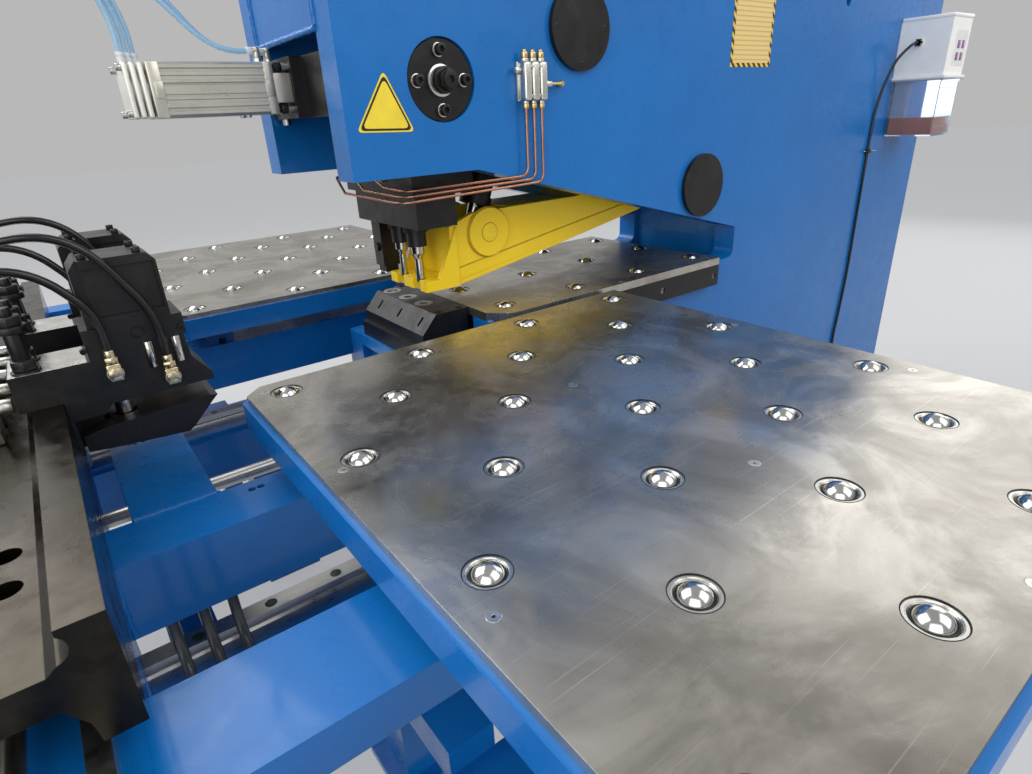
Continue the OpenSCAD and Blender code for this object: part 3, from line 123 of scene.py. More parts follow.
class NodeDesk:
    """Adds nodes to one material and wires them up."""

    edge: float = 0.0012

    def __init__(self, name: str) -> None:
        """Starts a material with its shader.

        Args:
            name: name of the material.
        """
        self.material = bpy.data.materials.new(name)
        self.material.use_nodes = True
        self.tree = self.material.node_tree
        self.shader = self.tree.nodes["Principled BSDF"]
        self.place = self.tree.nodes.new("ShaderNodeTexCoord").outputs["Object"]

    def fill(self, socket: Socket, value: Socket | float | tuple) -> None:
        """Wires another socket to this one, or sets it to a plain value.

        Args:
            socket: input to fill.
            value: output to wire to it, or its value.
        """
        if isinstance(value, Socket):
            self.tree.links.new(value, socket)
        else:
            socket.default_value = value

    def make(self, kind: str, **inputs: Socket | float | tuple) -> bpy.types.Node:
        """Adds a node and fills its sockets.

        Args:
            kind: type of the node, without its prefix.
            inputs: what each socket gets; an underscore stands for a space.

        Returns:
            The node.
        """
        node = self.tree.nodes.new("ShaderNode" + kind)
        for name, value in inputs.items():
            self.fill(node.inputs[name.replace("_", " ")], value)
        return node

    def coat(self, **inputs: Socket | float | tuple) -> None:
        """Fills sockets of the shader; an underscore stands for a space."""
        for name, value in inputs.items():
            self.fill(self.shader.inputs[name.replace("_", " ")], value)

    def mapped(self, scale: Point, turn: float = 0.0) -> Socket:
        """Object coordinates, stretched and turned about the upright axis."""
        return self.make("Mapping", Scale=scale, Rotation=(0, 0, turn), Vector=self.place).outputs["Vector"]

    def noise(
        self, scale: float, detail: float = 4.0, rough: float = 0.55, vector: Socket | None = None, warp: float = 0.0
    ) -> Socket:
        """Noise read on the object's own coordinates.

        Args:
            scale: noise cells per metre.
            detail: octaves.
            rough: weight of the finer octaves.
            vector: coordinates to read instead of the plain ones.
            warp: distortion of the cells.

        Returns:
            The factor socket.
        """
        source = vector or self.place
        node = self.make("TexNoise", Scale=scale, Detail=detail, Roughness=rough, Distortion=warp, Vector=source)
        return node.outputs["Fac"]

    def ramp(self, source: Socket, *stops: tuple[float, Colour]) -> Socket:
        """Colours read off a factor.

        Args:
            source: factor socket.
            stops: place and colour of each stop.

        Returns:
            The colour socket.
        """
        node = self.make("ValToRGB", Fac=source)
        elements = node.color_ramp.elements
        while len(elements) < len(stops):
            elements.new(0.5)
        for element, (place, colour) in zip(elements, stops):
            element.position = place
            element.color = (*colour, 1.0)
        return node.outputs["Color"]

    def span(self, source: Socket, low: float, high: float, a: float, b: float) -> Socket:
        """Maps a factor between low and high onto a to b."""
        return self.make("MapRange", From_Min=low, From_Max=high, To_Min=a, To_Max=b, Value=source).outputs["Result"]

    def maths(self, kind: str, a: Socket, b: Socket | float) -> Socket:
        """One step of arithmetic.

        Args:
            kind: name of the operation.
            a: first value.
            b: second value, a socket or a number.

        Returns:
            The value socket.
        """
        node = self.make("Math")
        node.operation = kind
        self.fill(node.inputs[0], a)
        self.fill(node.inputs[1], b)
        return node.outputs["Value"]

    def mix(self, factor: Socket, a: Socket | Colour, b: Socket | Colour) -> Socket:
        """Blends two colours.

        Args:
            factor: share of the second colour.
            a: first colour, a socket or a plain colour.
            b: second colour, a socket or a plain colour.

        Returns:
            The colour socket.
        """
        node = self.make("Mix", Factor=factor)
        node.data_type = "RGBA"
        for name, value in (("A", a), ("B", b)):
            socket = next(s for s in node.inputs if s.name == name and s.type == "RGBA")
            self.fill(socket, (*value, 1.0) if isinstance(value, tuple) else value)
        return next(s for s in node.outputs if s.type == "RGBA")

    def bump(self, height: Socket, strength: float, depth: float) -> None:
        """Raises the surface by a height pattern and softens its edges.

        Args:
            height: factor socket.
            strength: share of the effect.
            depth: height of the pattern, in metres.
        """
        node = self.make("Bump", Strength=strength, Distance=depth)
        edge = self.make("Bevel", Radius=self.edge)
        edge.samples = 2
        self.fill(node.inputs["Normal"], edge.outputs["Normal"])
        self.fill(node.inputs["Height"], height)
        self.coat(Normal=node.outputs["Normal"])


def shade(colour: Colour, factor: float) -> Colour:
    """The colour made darker or lighter by a factor."""
    return tuple(min(1.0, c * factor) for c in colour)


@dataclass(frozen=True)
class Enamel:
    """Glossy sprayed enamel with orange peel and a little dirt."""

    name: str
    colour: Colour
    peel: float = 0.00019
    dirt: float = 0.25

    def build(self) -> bpy.types.Material:
        """Builds the material.

        Returns:
            The material.
        """
        desk = NodeDesk(self.name)
        cloud = desk.noise(3.0, 6.0, 0.6)
        base = desk.ramp(cloud, (0.3, shade(self.colour, 0.9)), (0.7, shade(self.colour, 1.06)))
        grime = desk.span(desk.noise(14.0, 8.0, 0.7, warp=0.6), 0.60, 0.78, 0.0, self.dirt)
        desk.coat(Base_Color=desk.mix(grime, base, shade(self.colour, 0.45)))
        desk.coat(Roughness=desk.span(desk.noise(22.0, 5.0), 0.35, 0.75, 0.24, 0.42))
        desk.coat(Coat_Weight=0.25, Coat_Roughness=0.06, Specular_IOR_Level=0.35)
        desk.bump(desk.noise(420.0, 2.0, 0.5), 0.35, self.peel)
        return desk.material


@dataclass(frozen=True)
class Metal:
    """Plain metal with cloudy tarnish and fine marks."""

    name: str
    colour: Colour
    rough: Flat = (0.25, 0.40)
    tarnish: Colour = (0.30, 0.27, 0.22)
    share: float = 0.25
    grain: float = 0.00003
    metallic: float = 1.0

    def build(self) -> bpy.types.Material:
        """Builds the material.

        Returns:
            The material.
        """
        desk = NodeDesk(self.name)
        spots = desk.span(desk.noise(18.0, 8.0, 0.65, warp=0.8), 0.48, 0.75, 0.0, self.share)
        desk.coat(Base_Color=desk.mix(spots, self.colour, self.tarnish))
        desk.coat(Roughness=desk.span(desk.noise(35.0, 6.0), 0.3, 0.7, *self.rough), Metallic=self.metallic)
        desk.bump(desk.noise(900.0, 3.0), 0.4, self.grain)
        return desk.material


@dataclass(frozen=True)
class GroundPlate:
    """Ground steel sheet, smudged by oil and scratched by plates."""

    name: str
    light: Colour = (0.52, 0.49, 0.435)
    dark: Colour = (0.27, 0.25, 0.215)
    stain: Colour = (0.30, 0.25, 0.19)
    scratch: Colour = (0.62, 0.61, 0.58)

    def build(self) -> bpy.types.Material:
        """Builds the material.

        Returns:
            The material.
        """
        desk = NodeDesk(self.name)
        cloud = desk.noise(4.2, 8.0, 0.62, warp=1.2)
        shades = ((0.46, shade(self.light, 0.72)), (0.58, self.light), (0.80, shade(self.light, 1.12)))
        warm = desk.ramp(cloud, (0.28, self.dark), *shades)
        brown = desk.span(desk.noise(2.1, 5.0, 0.6, warp=0.7), 0.48, 0.70, 0.0, 0.45)
        stained = desk.mix(brown, warm, self.stain)
        marks = [desk.noise(1.0, 2.0, 0.5, desk.mapped((3.0, 330.0, 1.0), turn)) for turn in (0.15, 1.25, 2.45)]
        deepest = desk.maths("MAXIMUM", desk.maths("MAXIMUM", marks[0], marks[1]), marks[2])
        desk.coat(Base_Color=desk.mix(desk.span(deepest, 0.69, 0.77, 0, 0.7), stained, self.scratch))
        desk.coat(Roughness=desk.span(desk.noise(7.0, 7.0, 0.65, warp=1.5), 0.30, 0.72, 0.17, 0.40))
        desk.coat(Metallic=0.92, Specular_IOR_Level=0.5)
        desk.bump(desk.noise(1.0, 3.0, 0.5, desk.mapped((40.0, 900.0, 40.0), 0.1)), 0.25, 0.00004)
        return desk.material


@dataclass(frozen=True)
class Plastic:
    """Moulded plastic or rubber, plain or clear; a clear wall is thin and bends light little."""

    name: str
    colour: Colour
    rough: float = 0.35
    clear: float = 0.0
    mottle: float = 0.08

    def build(self) -> bpy.types.Material:
        """Builds the material.

        Returns:
            The material.
        """
        desk = NodeDesk(self.name)
        stops = ((0.3, shade(self.colour, 1 - self.mottle)), (0.7, shade(self.colour, 1 + self.mottle)))
        desk.coat(Base_Color=desk.ramp(desk.noise(30.0, 4.0), *stops))
        desk.coat(Roughness=self.rough, Transmission_Weight=self.clear, IOR=1.16 if self.clear > 0.5 else 1.46)
        desk.bump(desk.noise(600.0, 2.0), 0.2, 0.00003)
        return desk.material


@dataclass(frozen=True)
class Striped:
    """Bare printed film with stripes, level or slanted by half a right angle."""

    name: str
    ground: Colour
    mark: Colour
    per_metre: float
    start: float
    strength: float = 1.0
    slanted: bool = False

    def build(self) -> bpy.types.Material:
        """Builds the material.

        Returns:
            The material.
        """
        desk = NodeDesk(self.name)
        run = desk.make("SeparateXYZ", Vector=desk.place).outputs
        height = desk.maths("ADD", run["X"], run["Z"]) if self.slanted else run["Z"]
        share = desk.maths("FRACT", desk.maths("MULTIPLY", height, self.per_metre), 0.0)
        stripe = desk.maths("MULTIPLY", desk.maths("GREATER_THAN", share, self.start), self.strength)
        desk.coat(Base_Color=desk.mix(stripe, self.ground, self.mark), Roughness=0.4)
        return desk.material


Look = Slot | Enamel | Metal | GroundPlate | Plastic | Striped

SEAM = Enamel("yellow weld seam", (0.50, 0.31, 0.012), dirt=0.4)
YELLOW_ZINC = Metal("yellow zinc", (0.66, 0.57, 0.38), (0.18, 0.32), share=0.2)
IVORY = Metal("coated aluminium", (0.80, 0.79, 0.73), (0.30, 0.42), (0.60, 0.58, 0.52), 0.2, metallic=0.35)
FINISHES = {
    Slot.BLUE: Enamel("blue enamel", (0.003, 0.146, 0.475)),
    Slot.YELLOW: Enamel("yellow paint", (0.96, 0.66, 0.014), dirt=0.15),
    Slot.BLACK: Metal("black oxide", (0.013, 0.013, 0.014), (0.26, 0.46), (0.060, 0.045, 0.034), 0.35, 0.00006, 0.45),
    Slot.GROUND: GroundPlate("ground steel"),
    Slot.BRIGHT: Metal("bright steel", (0.52, 0.51, 0.49)),
    Slot.CHROME: Metal("chrome", (0.56, 0.56, 0.54), (0.10, 0.20), share=0.06, grain=0.0),
    Slot.ZINC: Metal("zinc", (0.64, 0.63, 0.58), (0.20, 0.36), share=0.25),
    Slot.ANODISED: Metal(
        "anodised aluminium", (0.57, 0.55, 0.48), (0.26, 0.38), (0.42, 0.40, 0.34), 0.25, 0.00001, 0.8
    ),
    Slot.COPPER: Metal("copper", (0.46, 0.22, 0.145), (0.22, 0.38), (0.17, 0.08, 0.05), 0.55),
    Slot.BRASS: Metal("brass", (0.66, 0.50, 0.22), (0.22, 0.35), (0.30, 0.22, 0.10), 0.3),
    Slot.WHITE: Plastic("white plastic", (0.90, 0.90, 0.87), 0.32, 0.0, 0.03),
    Slot.CLEAR: Plastic("clear tank", (0.86, 0.92, 1.0), 0.10, 0.94, 0.0),
    Slot.LIGHT_HOSE: Plastic("light blue hose", (0.42, 0.66, 0.85), 0.15, 0.35, 0.04),
    Slot.BLACK_HOSE: Plastic("black hose", (0.009, 0.009, 0.010), 0.14, 0.0, 0.2),
    Slot.OILY: Metal("oily steel", (0.040, 0.033, 0.023), (0.07, 0.34), (0.014, 0.010, 0.006), 0.85, 0.00035, 0.92),
}


class Paintbox:
    """Keeps one built material for each finish."""

    def __init__(self) -> None:
        """Starts with nothing built."""
        self.built: dict[str, bpy.types.Material] = {}

    def get(self, look: Look) -> bpy.types.Material:
        """The material of a slot or a finish, built on first use.

        Args:
            look: slot of the record, or a finish of its own.

        Returns:
            The material.
        """
        own = FINISHES[look] if isinstance(look, Slot) else look
        if own.name not in self.built:
            self.built[own.name] = own.build()
        return self.built[own.name]


def circle(x: float, y: float, z: float, radius: float, count: int) -> list[Point]:
    """Points on an upright circle round x and z that faces sideways at y."""
    angles = [2 * math.pi * step / count for step in range(count)]
    return [(x + radius * math.cos(a), y, z + radius * math.sin(a)) for a in angles]


@dataclass
class Bench:
    """Models pieces with Blender's own operators and hands them over finished."""

    paint: Paintbox

    def only(self, *pieces: Piece) -> None:
        """Selects some objects and nothing else, and makes the first one active.

        Args:
            pieces: what is selected.
        """
        bpy.ops.object.select_all(action="DESELECT")
        for piece in pieces:
            piece.select_set(True)
        bpy.context.view_layer.objects.active = pieces[0]

    def settle(self, piece: Piece) -> Piece:
        """Puts an object's place, turn and size into its mesh.

        Args:
            piece: object to settle.

        Returns:
            The same object.
        """
        self.only(piece)
        bpy.ops.object.transform_apply(location=True, rotation=True, scale=True)
        return piece

    def bevel(self, piece: Piece, width: float, segments: int = 2, angle: float = 40.0) -> None:
        """Rounds the sharp edges of a piece with an applied modifier.

        Args:
            piece: object to round.
            width: width of the rounding.
            segments: faces across it.
            angle: only edges sharper than this are rounded, in degrees.
        """
        self.only(piece)
        rounding = piece.modifiers.new("rounding", "BEVEL")
        rounding.width = width
        rounding.segments = segments
        rounding.limit_method = "ANGLE"
        rounding.angle_limit = math.radians(angle)
        bpy.ops.object.modifier_apply(modifier=rounding.name)

    def block(self, low: Point, high: Point, rounding: float, segments: int = 2) -> Piece:
        """Adds a block between two corners, with rounded edges.

        Args:
            low: lowest corner.
            high: highest corner.
            rounding: width of the rounded edges.
            segments: faces across a rounding.

        Returns:
            The object.
        """
        bpy.ops.object.select_all(action="DESELECT")
        bpy.ops.mesh.primitive_cube_add(size=1, location=[(a + b) / 2 for a, b in zip(low, high)])
        piece = bpy.context.object
        piece.scale = [b - a for a, b in zip(low, high)]
        self.settle(piece)
        self.bevel(piece, rounding, segments)
        return piece

    def rod(
        self, foot: Point, axis: Axis, length: float, radius: float, sides: int = 24, rounding: float = 0.0,
        tip: float | None = None,
    ) -> Piece:
        """Adds a round or many-sided bar that stands on a point.

        Args:
            foot: centre of its first end.
            axis: direction in which it stands.
            length: length along the axis.
            radius: radius at the foot.
            sides: faces around it.
            rounding: width of the rounded rims.
            tip: radius at the other end, the same when left out.

        Returns:
            The object.
        """
        bpy.ops.object.select_all(action="DESELECT")
        bpy.ops.mesh.primitive_cone_add(
            vertices=sides, radius1=radius, radius2=radius if tip is None else tip, depth=length,
            location=(0, 0, length / 2),
        )
        piece = self.settle(bpy.context.object)
        piece.rotation_euler = axis.value
        piece.location = foot
        self.settle(piece)
        if rounding:
            self.bevel(piece, rounding, 2, 50.0)
        return piece

    def stack(self, foot: Point, axis: Axis, *turns: tuple) -> list[Piece]:
        """Adds rods on one line, each given by its height above the foot and a rod's last values."""
        return [self.rod(tuple(Vector(foot) + axis.aim * lift), axis, *turn) for lift, *turn in turns]

    def sink(self, piece: Piece, normal: Point, rim: float, depth: float) -> Piece:
        """Insets the faces that look along a direction and pushes them in.

        Args:
            piece: object to work on.
            normal: direction the faces look in.
            rim: width left standing round the recess.
            depth: depth of the recess.

        Returns:
            The same object.
        """
        self.only(piece)
        bpy.ops.object.mode_set(mode="EDIT")
        bpy.ops.mesh.select_mode(type="FACE")
        bpy.ops.mesh.select_all(action="DESELECT")
        bpy.ops.object.mode_set(mode="OBJECT")
        aim = Vector(normal)
        reach = max(f.center.dot(aim) for f in piece.data.polygons)
        for face in piece.data.polygons:
            face.select = face.normal.dot(aim) > 0.98 and face.center.dot(aim) > reach - 1e-4
        bpy.ops.object.mode_set(mode="EDIT")
        bpy.ops.mesh.inset(thickness=rim, depth=0)
        bpy.ops.mesh.inset(thickness=min(rim, depth) * 0.1, depth=-depth)
        bpy.ops.object.mode_set(mode="OBJECT")
        return piece

    def tube(self, points: list[Point], radius: float, sides: int = 8, smooth: bool = False) -> Piece:
        """Adds a round tube along a line of points.

        Args:
            points: the centre line.
            radius: outer radius.
            sides: faces around it.
            smooth: whether the line is rounded through its points.

        Returns:
            The object.
        """
        bpy.ops.object.select_all(action="DESELECT")
        curve = bpy.data.curves.new("line", "CURVE")
        curve.dimensions = "3D"
        curve.resolution_u = 6 if smooth else 1
        curve.bevel_depth = radius
        curve.bevel_resolution = sides // 4 - 1
        curve.use_fill_caps = True
        line = curve.splines.new("NURBS" if smooth else "POLY")
        line.points.add(len(points) - 1)
        for spot, place in zip(line.points, points):
            spot.co = (*place, 1.0)
        if smooth:
            line.order_u = 4
            line.use_endpoint_u = True
        piece = bpy.data.objects.new("line", curve)
        bpy.context.collection.objects.link(piece)
        self.only(piece)
        bpy.ops.object.convert(target="MESH")
        piece = bpy.context.object
        self.only(piece)
        bpy.ops.object.mode_set(mode="EDIT")
        bpy.ops.mesh.select_all(action="SELECT")
        bpy.ops.mesh.remove_doubles(threshold=1e-6)
        bpy.ops.mesh.normals_make_consistent(inside=False)
        bpy.ops.object.mode_set(mode="OBJECT")
        return piece

    def plate(self, outline: list[Flat], y: float, thick: float) -> Piece:
        """Adds a flat plate on the near side, drawn in x and z.

        Args:
            outline: corners of the plate, in x and z.
            y: face that touches what carries it.
            thick: thickness towards the near side.

        Returns:
            The object.
        """
        mesh = bpy.data.meshes.new("plate")
        mesh.from_pydata([(x, y, z) for x, z in outline], [], [list(range(len(outline)))])
        piece = bpy.data.objects.new("plate", mesh)
        bpy.context.collection.objects.link(piece)
        self.only(piece)
        bpy.ops.object.mode_set(mode="EDIT")
        bpy.ops.mesh.select_all(action="SELECT")
        bpy.ops.mesh.extrude_region_move(TRANSFORM_OT_translate={"value": (0, -thick, 0)})
        bpy.ops.mesh.select_all(action="SELECT")
        bpy.ops.mesh.normals_make_consistent(inside=False)
        bpy.ops.object.mode_set(mode="OBJECT")
        return piece

    def spread(self, first: Piece, shifts: list[Point]) -> list[Piece]:
        """Copies a piece, each copy with its own mesh, and removes the first one.

        Args:
            first: what is copied.
            shifts: how far each copy moves.

        Returns:
            The copies.
        """
        twins = []
        for shift in shifts:
            twin = first.copy()
            twin.data = first.data.copy()
            bpy.context.collection.objects.link(twin)
            twin.data.transform(Matrix.Translation(shift))
            twins.append(twin)
        bpy.data.objects.remove(first)
        return twins

    def give(
        self, name: str, parts: list[Piece], look: Look, slot: Slot | None = None, body: str = "frame",
        angle: float = 35.0,
    ) -> Piece:
        """Joins parts into one piece, paints and smooths it and lets it ride on a body.

        Args:
            name: name of the piece.
            parts: what is joined.
            look: its finish.
            slot: not used.
            body: body it moves with.
            angle: faces that meet flatter than this are smoothed, in degrees.

        Returns:
            The finished piece.
        """
        self.only(*parts)
        if len(parts) > 1:
            bpy.ops.object.join()
        piece = bpy.context.object
        piece.name = piece.data.name = name
        self.only(piece)
        piece.data.materials.append(self.paint.get(look))
        bpy.ops.object.shade_smooth_by_angle(angle=math.radians(angle))
        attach(piece, body)
        log.info("added %s, %d faces", piece.name, len(piece.data.polygons))
        return piece


@dataclass
class Assembly(Bench):
    """A part of the machine, with the screws, nuts and hose ends that several of them use."""

    def screw(self, foot: Point, axis: Axis, size: float) -> Piece:
        """Adds the head of a socket screw with its recess, given its thread diameter."""
        head = self.rod(foot, axis, size, 0.75 * size, rounding=0.07 * size)
        return self.sink(head, tuple(axis.aim), 0.28 * size, 0.5 * size)

    def nut(self, foot: Point, axis: Axis, size: float, height: float) -> Piece:
        """Adds a hexagon nut, given its width over the corners, with chamfered corners."""
        return self.rod(foot, axis, height, size / 2, 6, 0.05 * size)

    def ferrule(self, foot: Point, bore: float, length: float) -> list[Piece]:
        """Adds the hexagon and the crimped sleeve at the upright end of a hose of that bore."""
        crimp = (0.42 * length, 0.58 * length, 0.62 * bore, 20, 0.04 * bore, 0.58 * bore)
        return self.stack(foot, Axis.Z, (0.0, 0.45 * length, 0.80 * bore, 6, 0.04 * bore), crimp)


@dataclass
class Studio:
    """Pale floor, soft lights and the camera of the photograph."""

    eye: Point = (-1.6504, -1.3654, 1.3115)
    right: Point = (0.7943, -0.6056, -0.0474)
    up: Point = (0.2785, 0.2937, 0.9145)
    forward: Point = (0.5399, 0.7396, -0.4019)
    lens_mm: float = 21.61
    floor_size: float = 60.0

    def build(self) -> None:
        """Adds floor, world, lights and camera."""
        self.floor()
        self.world()
        self.light("window light", (-3.2, 2.6, 4.6), (-0.9, 0.2, 0.9), 4.6, 250.0)
        self.light("hall light", (1.5, -4.2, 4.8), (-0.6, -0.3, 0.9), 4.8, 150.0)
        self.light("side light", (-3.8, -3.2, 2.6), (0.3, -0.3, 1.1), 4.2, 115.0)
        self.light("rear light", (5.6, 0.4, 3.4), (-0.4, -0.8, 0.9), 5.0, 120.0)
        self.camera()

    def floor(self) -> None:
        """Adds the plain floor, which looks evenly pale however far it lies from the lamps."""
        bpy.ops.mesh.primitive_plane_add(size=self.floor_size, location=(0, 0, 0))
        floor = bpy.context.object
        floor.name = "floor"
        desk = NodeDesk("pale floor")
        desk.coat(Base_Color=(0.26, 0.26, 0.26, 1), Roughness=0.8, Emission_Color=(0.62, 0.63, 0.65, 1))
        rays = desk.make("LightPath").outputs
        seen = desk.maths("MAXIMUM", rays["Is Camera Ray"], rays["Is Glossy Ray"])
        seen = desk.maths("MAXIMUM", seen, rays["Is Transmission Ray"])
        desk.coat(Emission_Strength=desk.maths("MULTIPLY", seen, 0.52))
        floor.data.materials.append(desk.material)

    def world(self) -> None:
        """Lights the scene evenly from all round."""
        world = bpy.data.worlds.new("studio")
        world.use_nodes = True
        back = world.node_tree.nodes["Background"]
        back.inputs["Color"].default_value = (0.96, 0.96, 0.96, 1)
        back.inputs["Strength"].default_value = 0.50
        bpy.context.scene.world = world

    def light(self, name: str, place: Point, aim: Point, size: float, power: float) -> None:
        """Adds one large soft lamp.

        Args:
            name: name of the lamp.
            place: where it hangs.
            aim: what it points at.
            size: side of its square.
            power: output in watts.
        """
        bpy.ops.object.light_add(type="AREA", location=place)
        lamp = bpy.context.object
        lamp.name = name
        lamp.data.size = size
        lamp.data.energy = power
        lamp.visible_camera = False
        lamp.rotation_euler = (Vector(aim) - Vector(place)).to_track_quat("-Z", "Y").to_euler()

    def camera(self) -> None:
        """Adds the camera."""
        bpy.ops.object.camera_add()
        camera = bpy.context.object
        axes = Matrix((self.right, self.up, [-c for c in self.forward])).transposed().to_4x4()
        camera.matrix_world = Matrix.Translation(self.eye) @ axes
        camera.data.sensor_width = 36.0
        camera.data.sensor_fit = "HORIZONTAL"
        camera.data.lens = self.lens_mm
        camera.data.clip_end = 100.0
        bpy.context.scene.camera = camera
        bpy.context.scene.view_settings.view_transform = "Standard"


@dataclass
class Signs(Assembly):
    """Blank sign plates on the near side plate."""

    triangle: tuple[Flat, ...] = ((-1.085, 1.396), (-1.151, 1.295), (-1.033, 1.291))
    sheet_low: Flat = (-0.068, 1.401)
    sheet_high: Flat = (0.115, 1.640)
    film: float = 0.0005
    corner: float = 0.012
    rim: float = 0.010

    def build(self) -> None:
        """Adds the triangle and the sheet."""
        self.three_cornered()
        self.sheet()

    def corners(self, inset: float) -> list[Flat]:
        """Rounded outline of the triangle, drawn in by an inset.

        Args:
            inset: how far the outline lies inside the plate's edge.

        Returns:
            Points in x and z.
        """
        middle = Vector((sum(p[0] for p in self.triangle) / 3, sum(p[1] for p in self.triangle) / 3))
        reach = (Vector(self.triangle[0]) - middle).length
        inner = [middle + (Vector(p) - middle) * (1 - 2 * inset / reach) for p in self.triangle]
        outline = []
        for here, before, after in zip(inner, inner[-1:] + inner[:-1], inner[1:] + inner[:1]):
            a, b = (before - here).normalized() * self.corner, (after - here).normalized() * self.corner
            outline += [tuple(here + a * (1 - t) ** 2 + b * t**2) for t in (0.0, 0.2, 0.4, 0.6, 0.8, 1.0)]
        return outline

    def three_cornered(self) -> None:
        """Adds the yellow triangle with its black line, one film on another."""
        yellow = Plastic("sign yellow", (0.86, 0.66, 0.05), 0.3)
        black = Plastic("sign black", (0.02, 0.02, 0.02), 0.3)
        for films, name, inset, look, slot in (
            (1, "triangle_sign_plate", 0.0, yellow, Slot.YELLOW),
            (2, "triangle_sign_line", 0.003, black, Slot.BLACK),
            (3, "triangle_sign_face", 0.0065, yellow, Slot.YELLOW),
        ):
            self.give(name, [self.plate(self.corners(inset), -PLATE_Y, self.film * films)], look, slot)

    def sheet(self) -> None:
        """Adds the blank sheet with its striped edge."""
        (x0, z0), (x1, z1), rim = self.sheet_low, self.sheet_high, self.rim
        hazard = Striped("hazard stripes", (0.83, 0.55, 0.06), (0.02, 0.02, 0.02), 42.0, 0.5, slanted=True)
        ruled = Striped("ruled sheet", (0.82, 0.60, 0.22), (0.30, 0.22, 0.12), 88.0, 0.72, 0.45)
        edge = self.plate([(x0, z0), (x1, z0), (x1, z1), (x0, z1)], -PLATE_Y, self.film)
        self.give("sheet_edge", [edge], hazard, Slot.YELLOW)
        inside = [(x0 + rim, z0 + rim), (x1 - rim, z0 + rim), (x1 - rim, z1), (x0 + rim, z1)]
        self.give("sheet_face", [self.plate(inside, -PLATE_Y, self.film * 2)], ruled, Slot.YELLOW)


@dataclass
class Welds(Assembly):
    """Lumpy fillet welds where plates of the frame meet."""

    pitch: float = 0.0045
    inner_y: float = PLATE_Y - 0.070

    def bead(self, name: str, a: Vector, b: Vector, radius: float, body: str) -> None:
        """Adds one run of weld between two points.

        Args:
            name: name of the bead.
            a: first point.
            b: last point.
            radius: half its width.
            body: body it moves with.
        """
        steps = max(4, int((b - a).length / self.pitch))
        side = (b - a).orthogonal().normalized()
        points = []
        for step in range(steps + 1):
            swing = 0.18 * radius * math.sin(step * 2.4) + 0.12 * radius * math.sin(step * 0.9)
            points.append(tuple(a.lerp(b, step / steps) + side * swing))
        tube = self.tube(points, radius)
        for vertex in tube.data.vertices:
            lump = 1 + 0.16 * math.sin(vertex.co.x * 1900 + vertex.co.z * 1300) * math.sin(vertex.co.y * 1700)
            near = a + (b - a) * max(0.0, min(1.0, (vertex.co - a).dot(b - a) / (b - a).length_squared))
            vertex.co = near + (vertex.co - near) * lump
        self.give(name, [tube], Slot.BLUE, body=body, angle=80.0)

    def build(self) -> None:
        """Adds the beads that are seen from around the machine."""
        inner = self.inner_y
        for where, side, _ in SIDES:
            for name, start, end, radius, body in (
                ("head_upright", (FRONT_X, inner, 1.470), (FRONT_X, inner, 1.890), 0.006, "frame"),
                ("rear_upright", (1.141, inner, 0.05), (1.141, inner, 1.670), 0.006, "frame"),
                ("foot", (-1.03, PLATE_Y, 0.031), (1.16, PLATE_Y, 0.031), 0.007, "frame"),
                ("inner_arm", (-1.703, 0.500, 0.664), (-1.703, 0.500, 0.778), 0.005, "saddle"),
                ("outer_arm", (-1.703, 0.911, 0.722), (-1.703, 0.911, 0.778), 0.005, "saddle"),
                ("bridge", (-1.540, 0.389, 0.664), (-1.540, 0.389, 0.779), 0.005, "saddle"),
                ("bridge_top", (-1.660, 0.390, 0.780), (-1.543, 0.390, 0.780), 0.004, "saddle"),
            ):
                a, b = (Vector((x, side * y, z)) for x, y, z in (start, end))
                self.bead(f"weld_{name}_{where}", a, b, radius, body)
        a, b = (Vector((FRONT_X - 0.001, y, 1.466)) for y in (-inner, inner))
        self.bead("weld_head_cross", a, b, 0.006, "frame")


